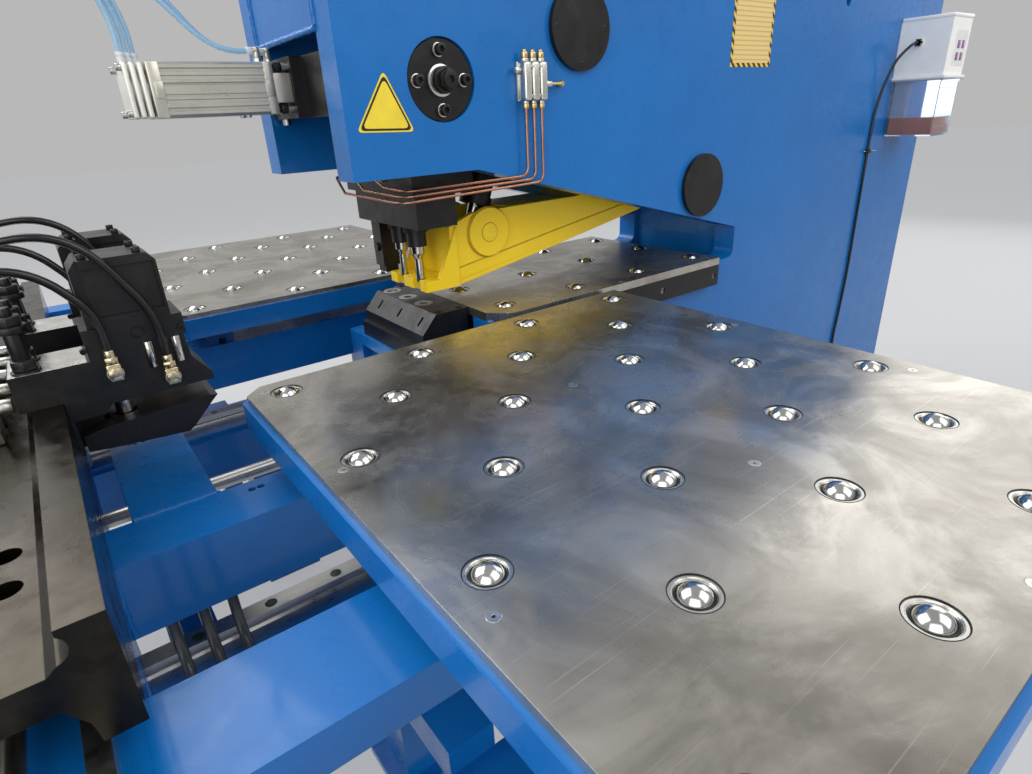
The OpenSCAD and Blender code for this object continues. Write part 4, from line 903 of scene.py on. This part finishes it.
@dataclass
class ClampFittings(Assembly):
    """Studs, nuts, banjo fittings and hose ends of the two clamps."""

    foot_z: float = TABLE_Z + 0.104
    half_width: float = 0.050

    def build(self) -> None:
        """Dresses both clamps and the ledge of the clamp bar."""
        for name, y in CLAMPS:
            self.studs(name, y)
            self.banjos(name, y - self.half_width)
            self.bolts(name, y)
            self.pins(name, y - self.half_width)
        self.manifold()

    def studs(self, name: str, y: float) -> None:
        """Adds the two studs and a thin near-white plate on a clamp's foot, a painted reflection on its bright steel
        top.

        Args:
            name: which clamp.
            y: its middle.
        """
        parts, z = [], self.foot_z
        for side in (-1, 1):
            parts += self.stack(
                (BAR_X - 0.028, y + side * 0.028, z), Axis.Z,
                (0.000, 0.003, 0.0190, 24, 0.0005), (0.003, 0.016, 0.0170, 6, 0.0017),
                (0.018, 0.044, 0.0115, 32, 0.0008), (0.060, 0.010, 0.0205, 32, 0.0012),
                (0.070, 0.014, 0.0180, 6, 0.0018), (0.084, 0.012, 0.0090, 24, 0.0010, 0.008),
            )
        self.give(f"clamp_studs_{name}", parts, Slot.BLACK, body="carriage")
        top = self.block((BAR_X - 0.051, y - 0.049, z), (BAR_X + 0.046, y + 0.049, z + 0.0006), 0.0003, 1)
        # Near-white steel on the foot's bright steel top: a painted reflection of bright windows.
        painted_reflection = Metal("scraped steel", (0.90, 0.88, 0.83), (0.16, 0.30))
        self.give(f"clamp_foot_plate_{name}", [top], painted_reflection, Slot.BRIGHT, "carriage")

    def banjos(self, name: str, face: float) -> None:
        """Adds the banjo fittings and the ferrules of a clamp's hoses.

        Args:
            name: which clamp.
            face: y of its near face.
        """
        for label, x, z, start_y in (
            ("front", BAR_X + 0.075, TABLE_Z + 0.100, face - 0.016),
            ("rear", BAR_X + 0.148, TABLE_Z + 0.074, face + 0.010),
        ):
            fitting = [
                self.block((x - 0.0104, face - 0.0245, z - 0.0285), (x + 0.0104, face, z + 0.0003), 0.003, 3),
                self.nut((x, face - 0.0245, z - 0.015), Axis.MINUS_Y, 0.020, 0.007),
                self.rod((x, face - 0.0255, z - 0.015), Axis.Y, 0.0012, 0.0115),
            ]
            self.give(f"banjo_{label}_{name}", fitting, YELLOW_ZINC, Slot.ZINC, "carriage")
            sleeve = self.ferrule((x, face - 0.016, z), 0.012, 0.020)
            self.give(f"ferrule_{label}_{name}", sleeve, YELLOW_ZINC, Slot.ZINC, "carriage")
            stub = self.ferrule((BAR_X - 0.184, start_y, 1.058), 0.012, 0.026)
            self.give(f"ferrule_bar_{label}_{name}", stub, Slot.ZINC, body="carriage")

    def pins(self, name: str, face: float) -> None:
        """Adds the two bright guide pins beside a clamp's rear hose.

        Args:
            name: which clamp.
            face: y of its near face.
        """
        feet = [(BAR_X + x, face - 0.003, TABLE_Z + 0.076) for x in (0.1285, 0.1675)]
        parts = [self.rod(foot, Axis.Z, 0.042, 0.0065, rounding=0.0006) for foot in feet]
        self.give(f"clamp_pins_{name}", parts, Slot.CHROME, body="carriage")

    def bolts(self, name: str, y: float) -> None:
        """Adds the socket screws of a clamp's cylinder block and jaw.

        Args:
            name: which clamp.
            y: its middle.
        """
        low = [(BAR_X + x, y - 0.0502, TABLE_Z + z) for x, z in ((0.045, 0.122), (0.180, 0.130))]
        high = [(BAR_X + x, y + dy, TABLE_Z + 0.250) for x in (0.080, 0.150) for dy in (-0.036, 0.036)]
        parts = [self.screw(foot, Axis.MINUS_Y, 0.006) for foot in low]
        parts += [self.screw(foot, Axis.Z, 0.008) for foot in high]
        self.give(f"clamp_screws_{name}", parts, Slot.BLACK, body="carriage")

    def manifold(self) -> None:
        """Adds the bright valves and their coils, which stand on the clamp bar's ledge."""
        parts = []
        for y, top in ((-0.250, 0.990), (-0.170, 1.002), (-0.090, 0.990), (-0.010, 1.002), (0.070, 0.990)):
            parts.append(self.block((-1.850, y - 0.028, 0.909), (-1.775, y + 0.028, top), 0.004))
            parts.append(self.nut((-1.812, y, top), Axis.Z, 0.030, 0.016))
            parts.append(self.rod((-1.775, y, 0.955), Axis.X, 0.022, 0.013, rounding=0.002, tip=0.011))
        self.give("valve_row", parts, Slot.ZINC, body="carriage")
        coils = [
            self.block((-1.846, y - 0.018, 1.019), (-1.806, y + 0.018, 1.052), 0.004) for y in (-0.170, -0.010)
        ]
        self.give("valve_coils", coils, Plastic("coil blue", (0.03, 0.09, 0.42), 0.3), Slot.BLACK, "carriage")


def route(corners: list[Point], radii: tuple[float, ...], steps: int = 10) -> list[Point]:
    """Centre line of a hose: straight runs joined by rounded corners.

    Args:
        corners: first end, corners and last end.
        radii: how far before and after each corner its rounding starts.
        steps: spans of each rounding.

    Returns:
        The points, first to last.
    """
    line = [Vector(corners[0])]
    for before, here, after, radius in zip(corners, corners[1:], corners[2:], radii):
        corner = Vector(here)
        start = corner + radius * (Vector(before) - corner).normalized()
        end = corner + radius * (Vector(after) - corner).normalized()
        for step in range(steps + 1):
            t = step / steps
            line.append(start * (1 - t) ** 2 + corner * 2 * t * (1 - t) + end * t * t)
    line.append(Vector(corners[-1]))
    return [tuple(point) for point in line]


def threaded(knots: list[Point], steps: int = 8) -> list[Point]:
    """Centre line of a cable that passes smoothly through its points.

    Args:
        knots: points that it passes.
        steps: spans between two of them.

    Returns:
        The points, first to last.
    """
    knots = [Vector(knot) for knot in knots]
    ends = [knots[0] * 2 - knots[1], *knots, knots[-1] * 2 - knots[-2]]
    line = []
    for a, b, c, d in zip(ends, ends[1:], ends[2:], ends[3:]):
        for step in range(steps):
            t = step / steps
            bend = b * 2 + (c - a) * t + (a * 2 - b * 5 + c * 4 - d) * t**2 + (b * 3 - a - c * 3 + d) * t**3
            line.append(bend * 0.5)
    line.append(knots[-1])
    return [tuple(point) for point in line]


@dataclass
class Lines(Assembly):
    """Air hoses, hydraulic hoses, grease pipes and the pump's cable."""

    top_z: float = 1.830
    inlet_x: float = FRONT_X - 0.058

    def build(self) -> None:
        """Lays every line along the route that its solid takes."""
        self.air_hoses()
        self.clamp_hoses()
        self.feed_hoses()
        self.grease_pipes()
        self.pump_cable()

    def lay(
        self, name: str, node: str, points: list[Point], diameter: float, look: Look, slot: Slot | None = None,
        body: str = "frame", stiffness: str = "medium", lay: str = "loose",
    ) -> None:
        """Args:
            name: name of the piece.
            node: CAD node that it replaces.
            points: its centre line.
            diameter: outer diameter.
            look: its finish.
            slot: not used.
            body: body it moves with.
            stiffness: not used.
            lay: not used.
        """
        tube = self.give(name, [self.tube(points, diameter / 2, 16)], look, slot, body, 60.0)
        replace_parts(tube, node)

    def air_hoses(self) -> None:
        """Lays the five light blue hoses of the selector cylinder."""
        for i in range(3):
            x, y, z = FRONT_X - 0.292 + 0.012 * i, -0.024 + 0.012 * i, SELECTOR_Z + 0.043
            end_y = -0.060 + 0.030 * i
            corners = [
                (x, y, z), (x, y, z + 0.070), (x - 0.060, y - 0.010, z + 0.210),
                (x - 0.020, y - 0.024 + 0.008 * i, z + 0.400),
                (FRONT_X - 0.150, end_y, self.top_z), (self.inlet_x, end_y, self.top_z),
            ]
            points = route(corners, (0.040, 0.070, 0.090, 0.050))
            self.lay(f"stage_hose_{i}", "air_hoses", points, 0.009, Slot.LIGHT_HOSE)
        for i in range(2):
            x, y, z = FRONT_X - 0.065 + 0.024 * i, 0.002 + 0.016 * i, SELECTOR_Z + 0.067
            end_y = 0.030 + 0.030 * i
            corners = [
                (x, y, z), (x - 0.070 - 0.020 * i, y, z), (x - 0.190, y + 0.004, z + 0.130),
                (FRONT_X - 0.250, y + 0.014 * i + 0.020, z + 0.325),
                (FRONT_X - 0.120, end_y, self.top_z), (self.inlet_x, end_y, self.top_z),
            ]
            points = route(corners, (0.050, 0.070, 0.070, 0.050))
            self.lay(f"cap_hose_{i}", "air_hoses", points, 0.009, Slot.LIGHT_HOSE)

    def clamp_hoses(self) -> None:
        """Lays two hydraulic hoses to each clamp."""
        for name, clamp in CLAMPS:
            y = clamp - 0.066
            for label, radii, corners in (
                (
                    "front", (0.056, 0.060, 0.035),
                    (
                        (-0.184, 0, 0.158), (-0.184, 0, 0.235), (0.010, 0.002, 0.262),
                        (0.075, 0, 0.175), (0.075, 0, 0.100),
                    ),
                ),
                (
                    "rear", (0.060, 0.070, 0.040),
                    (
                        (-0.184, 0.026, 0.158), (-0.184, 0.026, 0.268), (0.070, 0, 0.300),
                        (0.148, 0, 0.160), (0.148, 0, 0.074),
                    ),
                ),
            ):
                points = route([(BAR_X + dx, y + dy, TABLE_Z + dz) for dx, dy, dz in corners], radii)
                hose = f"clamp_hose_{label}_{name}"
                self.lay(hose, "clamp_hoses", points, 0.012, Slot.BLACK_HOSE, None, "carriage", "stiff")

    def feed_hoses(self) -> None:
        """Lays the three grey hoses that loop under the arms of the saddle."""
        grey = Plastic("grey hose", (0.060, 0.068, 0.070), 0.20, 0.0, 0.1)
        for i in range(3):
            a, b = -1.656 + 0.042 * i, -1.648 + 0.042 * i
            corners = [(a, -0.487, 0.660), (a, -0.487, 0.558), (b, -0.794, 0.562), (b, -0.794, 0.720)]
            points = route(corners, (0.090, 0.100))
            self.lay(f"feed_hose_{i}", "feed_hoses", points, 0.016, grey, Slot.BLACK_HOSE, "saddle", "stiff")

    def grease_pipes(self) -> None:
        """Lays the three copper pipes from the distributor to the guide block."""
        y0, step_z = -PLATE_Y - 0.016, TABLE_Z + 0.262
        for i, station in enumerate(STATIONS):
            z, x, top_x, port_z = step_z + 0.016 - 0.010 * i, PUNCH_X - 0.086 - 0.010 * i, PIPE_X[i], step_z + 0.034
            corners = [
                (top_x, y0, 1.325), (top_x, y0, step_z + 0.028 - 0.008 * i), (x, -0.182 - 0.008 * i, z),
                (x, station - 0.040, z + 0.004), (x, station, port_z), (PUNCH_X - 0.076, station, port_z),
            ]
            points = route(corners[:4], (0.020, 0.026)) + route(corners[3:], (0.008,))[1:]
            self.lay(f"grease_pipe_{i}", "grease_pipes", points, 0.006, Slot.COPPER, stiffness="stiff", lay="taut")

    def pump_cable(self) -> None:
        """Lays the black cable of the grease pump down the side plate."""
        y = -PLATE_Y - 0.005
        knots = [
            (0.864, -0.306, 1.469), (0.846, -0.306, 1.468), (0.824, -0.298, 1.455), (0.804, y - 0.030, 1.415),
            (0.790, y - 0.010, 1.340), (0.781, y, 1.260), (0.775, y, 1.170), (0.773, y, 0.980), (0.773, y, 0.750),
            (0.768, y, 0.640), (0.756, y, 0.520), (0.748, y, 0.446), (0.746, y, 0.260),
        ]
        self.lay("pump_cable", "lubricator_cable", threaded(knots), 0.009, Slot.BLACK_HOSE, lay="hanging")


@dataclass
class Selector(Assembly):
    """Extruded barrel, stage plates, front cap and fittings of the selector cylinder."""

    z: float = SELECTOR_Z
    half: float = 0.045
    bolt: float = 0.036

    def build(self) -> None:
        """Adds the body in place of its two solids, and dresses it."""
        self.barrel()
        self.stages()
        self.caps()
        self.screws()
        self.collars()

    def profile(self) -> list[Flat]:
        """Outline of the extrusion across its axis, with slots on both sides.

        Returns:
            Points in y and z, as the outline of a plate.
        """
        h = self.half
        upper = (
            (-0.0022, 0.0075), (-0.0045, 0.0075), (-0.0045, 0.0110), (0, 0.0110), (0, 0.0160), (-0.0015, 0.0165),
            (-0.0015, 0.0220), (0, 0.0225), (0, 0.0290), (-0.004, 0.0290), (-0.004, 0.0345), (0, 0.0345), (0, 0.040),
        )
        half = [(h + depth, -u) for depth, u in reversed(upper)] + [(h + depth, u) for depth, u in upper]
        half += [(h - 0.004, h), (-h + 0.004, h)]
        return [(y, self.z + u) for y, u in half + [(-y, -u) for y, u in half]]

    def barrel(self) -> None:
        """Adds the extrusion, drawn across and then turned along the axis."""
        start, end = SELECTOR_X[0] + 0.056, SELECTOR_X[1] - 0.048
        bar = self.plate(self.profile(), (end - start) / 2, end - start)
        bar.data.transform(Matrix.Translation(((start + end) / 2, 0, 0)) @ Matrix.Rotation(math.pi / 2, 4, "Z"))
        self.bevel(bar, 0.0004, 1)
        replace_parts(self.give("selector_extrusion", [bar], Slot.ANODISED, angle=30.0), "selector_barrel")

    def stages(self) -> None:
        """Adds the three stage plates."""
        h, z = self.half - 0.001, self.z
        starts = [SELECTOR_X[0] + 0.012 * i for i in range(3)]
        plates = [self.block((x, -h, z - h), (x + 0.0085, h, z + h), 0.0035, 3) for x in starts]
        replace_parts(self.give("selector_stages", plates, IVORY, Slot.ANODISED), "selector_caps")

    def caps(self) -> None:
        """Adds the spacers, both caps with their pads, the nose and the elbows."""
        h, z, (left, x1) = self.half, self.z, SELECTOR_X
        x0 = left + 0.036
        parts = [self.rod((left + 0.012 * i + 0.008, 0, z), Axis.X, 0.005, 0.033, 48) for i in range(3)]
        for start, end, y, u, rounding in (
            (x0, x0 + 0.021, h, h, 0.0025), (x1 - 0.049, x1 - 0.031, h, h, 0.0025),
            (x1 - 0.033, x1, h, 0.026, 0.002), (x1 - 0.033, x1, 0.026, h, 0.002),
        ):
            parts.append(self.block((start, -y, z - u), (end, y, z + u), rounding))
        for y in (-h, h):
            for x in (x0 + 0.007, x1 - 0.049):
                parts.append(self.block((x, y - 0.0012, z - 0.014), (x + 0.014, y + 0.0012, z + 0.014), 0.0008))
        parts.append(self.rod((x1 - 0.001, 0, z), Axis.X, 0.013, 0.0225, 48, 0.001))
        for i in range(2):
            x, y = x1 - 0.042 + 0.024 * i, 0.002 + 0.016 * i
            seat, elbow = (0.044, 0.010, 0.0082, 6, 0.0008), (0.053, 0.0205, 0.0065, 24, 0.0015)
            parts += self.stack((x, y, z), Axis.Z, seat, elbow)
            parts.append(self.rod((x + 0.001, y, z + 0.067), Axis.MINUS_X, 0.010, 0.0062, rounding=0.0006))
        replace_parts(self.give("selector_cap_set", parts, Slot.ANODISED), "selector_caps")

    def screws(self) -> None:
        """Adds the screws of the front cap and of the stages."""
        bolts = [(y, self.z + u) for y in (-self.bolt, self.bolt) for u in (-self.bolt, self.bolt)]
        for name, x, size, look in (
            ("selector_cap_screws", SELECTOR_X[1] - 0.0138, 0.013, Slot.BLACK),
            ("stage_cap_screws", SELECTOR_X[0], 0.008, Slot.BRIGHT),
        ):
            self.give(name, [self.screw((x, y, z), Axis.MINUS_X, size) for y, z in bolts], look)

    def collars(self) -> None:
        """Adds the white collars of the hoses and the plugs under the barrel."""
        parts = []
        for i in range(3):
            parts += self.stack(
                (SELECTOR_X[0] + 0.005 + 0.012 * i, -0.024 + 0.012 * i, self.z), Axis.Z,
                (0.043, 0.010, 0.0068, 6, 0.0006), (0.053, 0.007, 0.0062, 24, 0.0008),
            )
        for i in range(2):
            foot = (SELECTOR_X[1] - 0.050 + 0.024 * i, 0.002 + 0.016 * i, self.z + 0.067)
            parts.append(self.rod(foot, Axis.MINUS_X, 0.010, 0.0066, rounding=0.0008))
        self.give("hose_collars", parts, Plastic("collar white", (0.70, 0.72, 0.72), 0.3), Slot.WHITE)
        feet = [(SELECTOR_X[1] - 0.085, y, self.z - 0.0492) for y in (-0.02, 0.02)]
        self.give("selector_plugs", [self.screw(foot, Axis.Z, 0.007) for foot in feet], Slot.BRIGHT)


@dataclass
class TransferRings(Assembly):
    """Ring of painted shade in the gap round the ball, step ring, and ring of painted shade in the gap round the cup
    of every ball transfer unit.
    """

    side_start: Flat = (-1.393, 0.351)
    side_pitch: Flat = (0.260, 0.299)
    throat_x: tuple[float, ...] = (-0.821, -0.595, -0.368, -0.134)
    throat_y: tuple[float, ...] = (-0.201, 0.0, 0.201)

    def build(self) -> None:
        """Adds the rings of the side tables and of the throat table."""
        (x0, y0), (dx, dy) = self.side_start, self.side_pitch
        grid = [(i, j) for i in range(4) for j in range(4)] + [(i + 0.5, j + 0.5) for i in range(3) for j in range(3)]
        self.rings("side", "saddle", [(x0 + i * dx, side * (y0 + j * dy), 0) for side in (-1, 1) for i, j in grid])
        self.rings("throat", "frame", [(x, y, 0) for x in self.throat_x for y in self.throat_y])

    def rings(self, where: str, body: str, places: list[Point]) -> None:
        """Adds the three rings to each unit of one table.

        Args:
            where: which table they belong to.
            body: body that the table moves with.
            places: middles of the units.
        """
        for name, radius, wire, drop, look in (
            # Black ring sunk round the ball: painted shade of the gap between ball and cup.
            ("ball_gap_shades", 0.0187, 0.0013, 0.0040, Slot.BLACK),
            ("steps", 0.0217, 0.0009, 0.0026, Slot.ZINC),
            # Black ring round the cup, a little proud of the table: painted shade of the gap between cup and table.
            ("joints", 0.0263, 0.0008, 0.0004, Slot.BLACK),
        ):
            bpy.ops.object.select_all(action="DESELECT")
            bpy.ops.mesh.primitive_torus_add(
                major_radius=radius, minor_radius=wire, major_segments=32, minor_segments=6,
                location=(0, 0, TABLE_Z - drop),
            )
            parts = self.spread(self.settle(bpy.context.object), places)
            self.give(f"{where}_cup_{name}", parts, look, body=body, angle=80.0)


@dataclass
class ReturnSprings(Assembly):
    """Coil springs of the three stations, each drawn at one fixed length."""

    foot_z: float = TABLE_Z + 0.2818
    top_z: float = TABLE_Z + 0.4372
    coil: float = 0.0235
    wire: float = 0.002
    turns: int = 6
    steps: int = 24
    strokes: Point = (0.057, 0.057, 0.050)

    def build(self) -> None:
        """Adds one spring to each station."""
        joints = ("punch_near_slide", "punch_middle_slide", "stamp_slide")
        for y, where, joint, stroke in zip(STATIONS, ("near", "middle", "far"), joints, self.strokes):
            wire = self.tube(self.helix(y), self.wire)
            spring = self.give(f"return_spring_{where}", [wire], Slot.BRIGHT, angle=60.0)
            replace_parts(spring, "return_springs")
            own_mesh(spring)

    def helix(self, y: float) -> list[Point]:
        """Middle line of the wire at one station.

        Args:
            y: place of the station.

        Returns:
            The points, from the foot upwards.
        """
        count, line = self.turns * self.steps, []
        for i in range(count + 1):
            angle, z = 2 * math.pi * i / self.steps, self.foot_z + (self.top_z - self.foot_z) * i / count
            line.append((PUNCH_X + self.coil * math.cos(angle), y + self.coil * math.sin(angle), z))
        return line


@dataclass
class Lubricator(Assembly):
    """Oil, lid, labels and gland of the grease pump."""

    low: Point = (0.880, -0.396, 1.176)
    high: Point = (1.031, -0.238, 1.537)
    split_z: float = 1.365

    def build(self) -> None:
        """Dresses the pump."""
        (x0, y0, z0), (x1, y1, z1), split = self.low, self.high, self.split_z
        for name, low, high, rounding, segments, look, slot in (
            (
                "oil", (x0 + 0.0065, y0 + 0.0065, z0 + 0.0045), (x1 - 0.0065, y1 - 0.0105, z0 + 0.060), 0.002, 2,
                Plastic("red brown oil", (0.36, 0.070, 0.008), 0.12), Slot.CLEAR,
            ),
            (
                "pump_lid", (x0 - 0.003, y0 - 0.003, z1 - 0.002), (x1 + 0.003, y1, z1 + 0.010), 0.004, 3,
                Slot.WHITE, Slot.WHITE,
            ),
            (
                "tank_band", (x0 - 0.0085, y0 - 0.0085, split - 0.012), (x1 + 0.0085, y1, split - 0.006), 0.001, 2,
                Plastic("band grey", (0.42, 0.44, 0.47), 0.35), Slot.WHITE,
            ),
            (
                "blank_panel", (x0 + 0.048, y0 - 0.0006, split + 0.028), (x1 - 0.014, y0 + 0.001, z1 - 0.038),
                0.0004, 1, Plastic("panel white", (0.78, 0.78, 0.79), 0.25), Slot.WHITE,
            ),
        ):
            self.give(name, [self.block(low, high, rounding, segments)], look, slot)
        spots = [(x0 + x, split + z) for z in (0.044, 0.080) for x in (0.066, 0.100)]
        keys = [self.block((x, y0 - 0.002, z), (x + 0.020, y0, z + 0.024), 0.001) for x, z in spots]
        self.give("blank_keys", keys, Plastic("key violet", (0.25, 0.11, 0.27), 0.35), Slot.WHITE)
        self.give("cable_gland", [self.nut((x0 - 0.016, -0.306, 1.469), Axis.X, 0.026, 0.010)], Slot.BLACK_HOSE)
        ribs = []
        for step in range(1, 6):
            z = z0 + 0.03 * step
            ribs.append(self.block((x0 + 0.0012, y0 + 0.0012, z), (x1 - 0.0012, y0 + 0.0035, z + 0.0014), 0.0004, 1))
        self.give("tank_ribs", ribs, Slot.CLEAR)


@dataclass
class SmallParts(Assembly):
    """Rail plugs, cable clip, distributor, cover and die screws and arm marks."""

    flange_x: float = -0.964
    flange_z: float = 1.378
    flange_bolts: float = 0.052
    covers: tuple[Flat, ...] = ((-0.156, 1.108), (-0.613, 1.475))
    cover_bolts: float = 0.0697
    boss_x: float = -0.777
    boss_z: float = 1.052

    def build(self) -> None:
        """Adds all of them."""
        self.rail_plugs()
        self.cable_clip()
        self.distributor()
        self.cover_screws()
        self.flange_nuts()
        self.die_screws()
        self.arm_marks()
        self.table_screws()
        self.socket_shades()

    def rail_plugs(self) -> None:
        """Fills the screw holes of the floor rails with green plugs."""
        first = self.rod((-2.090, -0.445, 0.5735), Axis.Z, 0.0012, 0.0097, rounding=0.0003)
        plugs = self.spread(first, [(0.115 * i, y, 0) for y in (0.0, 0.890) for i in range(17)])
        self.give("rail_plugs", plugs, Plastic("plug green", (0.03, 0.10, 0.04), 0.4), Slot.BRIGHT)

    def cable_clip(self) -> None:
        """Adds the clip and the tie that hold the pump's cable."""
        clip = self.block((0.762, -0.252, 1.126), (0.790, -0.238, 1.140), 0.002)
        knots = [(0.757, -0.2385, 1.133), (0.775, -0.2540, 1.134), (0.800, -0.2385, 1.134), (0.842, -0.2400, 1.131)]
        tie = self.tube(knots, 0.0012, smooth=True)
        self.give("cable_clip", [clip], Slot.BLACK_HOSE)
        self.give("cable_tie", [tie], Plastic("tie white", (0.75, 0.75, 0.73), 0.4), Slot.WHITE)

    def distributor(self) -> None:
        """Adds the three columns of the grease distributor with their nuts and caps."""
        y, z, caps = -PLATE_Y, TABLE_Z + 0.476, []
        body = [self.block((-0.789, y - 0.007, z - 0.040), (-0.721, y, z + 0.034), 0.0015)]
        for x in PIPE_X:
            foot = (x, y - 0.016, z)
            body.append(self.block((x - 0.0095, y - 0.030, z - 0.040), (x + 0.0095, y - 0.005, z + 0.034), 0.006, 4))
            body += self.stack(foot, Axis.Z, (0.033, 0.006, 0.0082, 32, 0.0008), (-0.046, 0.008, 0.0068, 6, 0.0006))
            caps += self.stack(foot, Axis.Z, (0.0385, 0.0125, 0.0070, 32, 0.0012), (0.050, 0.005, 0.0045, 24, 0.001))
            caps.append(self.nut((x, y - 0.016, z - 0.054), Axis.Z, 0.0145, 0.009))
        body.append(self.rod((-0.801, y - 0.015, z + 0.018), Axis.X, 0.014, 0.0065, 6, 0.0006))
        body.append(self.rod((-0.723, y - 0.015, z - 0.008), Axis.X, 0.017, 0.0068, 32, 0.001))
        for level in (z - 0.031, z + 0.024):
            body += [self.screw((x, y - 0.0245, level), Axis.MINUS_Y, 0.0045) for x in (-0.7655, -0.7445)]
        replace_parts(self.give("distributor_columns", body, Slot.ZINC), "distributor")
        self.give("distributor_nuts", caps, Slot.BRASS)

    def cover_screws(self) -> None:
        """Adds the blackened heads on the round covers and the sunk flanges."""
        heads = []
        for _, side, axis in SIDES:
            for x, z in self.covers:
                for place in circle(x, side * (PLATE_Y + 0.0109), z, self.cover_bolts, 4):
                    head = self.rod(place, axis, 0.0009, 0.00748, 32, 0.0003)
                    heads.append(self.sink(head, (0, side, 0), 0.0040, 0.0006))
            for place in circle(self.flange_x, side * (PLATE_Y - 0.004), self.flange_z, self.flange_bolts, 4):
                heads.append(self.screw(place, axis, 0.0144))
        self.give("cover_screw_heads", heads, Slot.BLACK)

    def flange_nuts(self) -> None:
        """Adds the black nuts in the middle of the sunk flanges and the bright rings."""
        x, z, nuts, rings = self.flange_x, self.flange_z, [], []
        for _, side, axis in SIDES:
            foot = (x, side * (PLATE_Y - 0.0040), z)
            nuts += self.stack(
                foot, axis, (0.0, 0.0172, 0.0240, 48, 0.0012), (0.0168, 0.0160, 0.0200, 6, 0.0012),
                (0.0325, 0.0062, 0.0160, 48, 0.0010),
            )
            self.sink(nuts[-1], (0, side, 0), 0.0085, 0.0050)
            rings += self.stack(foot, axis, (-0.0001, 0.0022, 0.0285, 64, 0.0007))
            for place in circle(x, side * (PLATE_Y - 0.0041), z, self.flange_bolts, 4):
                rings.append(self.rod(place, axis, 0.0010, 0.0124, 32, 0.0003))
        self.give("flange_nuts", nuts, Slot.BLACK)
        self.give("flange_washers", rings, Slot.ZINC, Slot.BRIGHT)

    def die_screws(self) -> None:
        """Adds the four screws sunk in the die block."""
        feet = [(PUNCH_X + dx, y, 0.888) for dx in (-0.014, 0.040) for y in (-0.140, 0.146)]
        self.give("die_screws", [self.screw(foot, Axis.Z, 0.010) for foot in feet], Slot.BLACK)

    def arm_marks(self) -> None:
        """Adds weld ring, weld line and pin end to both sides of the stripper arm."""
        knots = [(-0.8640, 0.9795), (-0.8450, 0.9824), (-0.5500, 1.0277), (-0.5300, 1.0307), (-0.3000, 1.0645)]
        for where, side, axis in SIDES:
            ring = circle(self.boss_x, side * 0.0855, self.boss_z, 0.058, 96)
            line = [(x, side * 0.0852, z) for x, z in knots]
            for name, points, wire in (("boss_weld", ring + ring[:1], 0.0035), ("weld_line", line, 0.0017)):
                seam = self.tube(points, wire)
                self.give(f"arm_{name}_{where}", [seam], SEAM, Slot.YELLOW, "stripper_arm", 80.0)
            foot = (self.boss_x, side * 0.0937, self.boss_z)
            seam = self.rod(foot, axis, 0.0006, 0.0232, 64)
            self.give(f"arm_seam_{where}", [seam], Slot.BLACK, body="stripper_arm")
            boss = self.sink(self.rod(foot, axis, 0.0016, 0.0222, 64, 0.0006), (0, side, 0), 0.0198, 0.0009)
            self.give(f"arm_boss_{where}", [boss], Slot.YELLOW, body="stripper_arm")

    def table_screws(self) -> None:
        """Adds the screws under the rims of the side tables."""
        spots = [(x, side * y) for side in (-1, 1) for x in (-1.338, -0.678) for y in (0.410, 0.480, 0.800, 0.868)]
        screws = [self.screw((x, y, 0.780), Axis.Z, 0.012) for x, y in spots]
        self.give("table_leg_screws", screws, Slot.BLACK, body="saddle")

    def socket_shades(self) -> None:
        """Adds dark discs at the bottoms of the sockets in the flat table screws, painted shade of the recesses."""
        rows, columns = (-1.423, -1.023, -0.583), (0.3286, 0.6652, 1.0018, 1.2874)
        for name, body, places in (
            ("side", "saddle", [(x, side * y, 0) for side in (-1, 1) for x in rows for y in columns]),
            ("throat", "frame", [(x, side * 0.256, 0) for side in (-1, 1) for x in (-0.852, -0.482, -0.117)]),
        ):
            # Dark disc in each socket: painted shade of the recess.
            first = self.rod((0, 0, TABLE_Z - 0.0026), Axis.Z, 0.0014, 0.0023, 12, 0.0002)
            self.give(f"{name}_socket_painted_shade", self.spread(first, places), Slot.BLACK, body=body)


def dress_frame(frame: dict, bench: Bench) -> None:
    """Gives every CAD node the finish of its slot.

    Args:
        bench: the bench with its finishes.
    """
    for part in frame["record"]["subparts"]:
        node = frame["nodes"][part["node"]]
        node.data.materials.clear()
        node.data.materials.append(bench.paint.get(Slot(part["material_slot"])))
        bench.only(node)
        bpy.ops.object.shade_smooth_by_angle(angle=math.radians(32))
        log.info("dressed %s", part["node"])


def main() -> None:
    """Builds the machine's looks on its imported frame."""
    logging.basicConfig(level=logging.INFO, format="%(message)s")
    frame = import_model()
    paint = Paintbox()
    dress_frame(frame, Bench(paint))
    for assembly in (
        Signs, Welds, ClampFittings, Lines, Selector, TransferRings, ReturnSprings, Lubricator, SmallParts,
    ):
        assembly(paint).build()
    Studio().build()


if __name__ == "__main__":
    main()
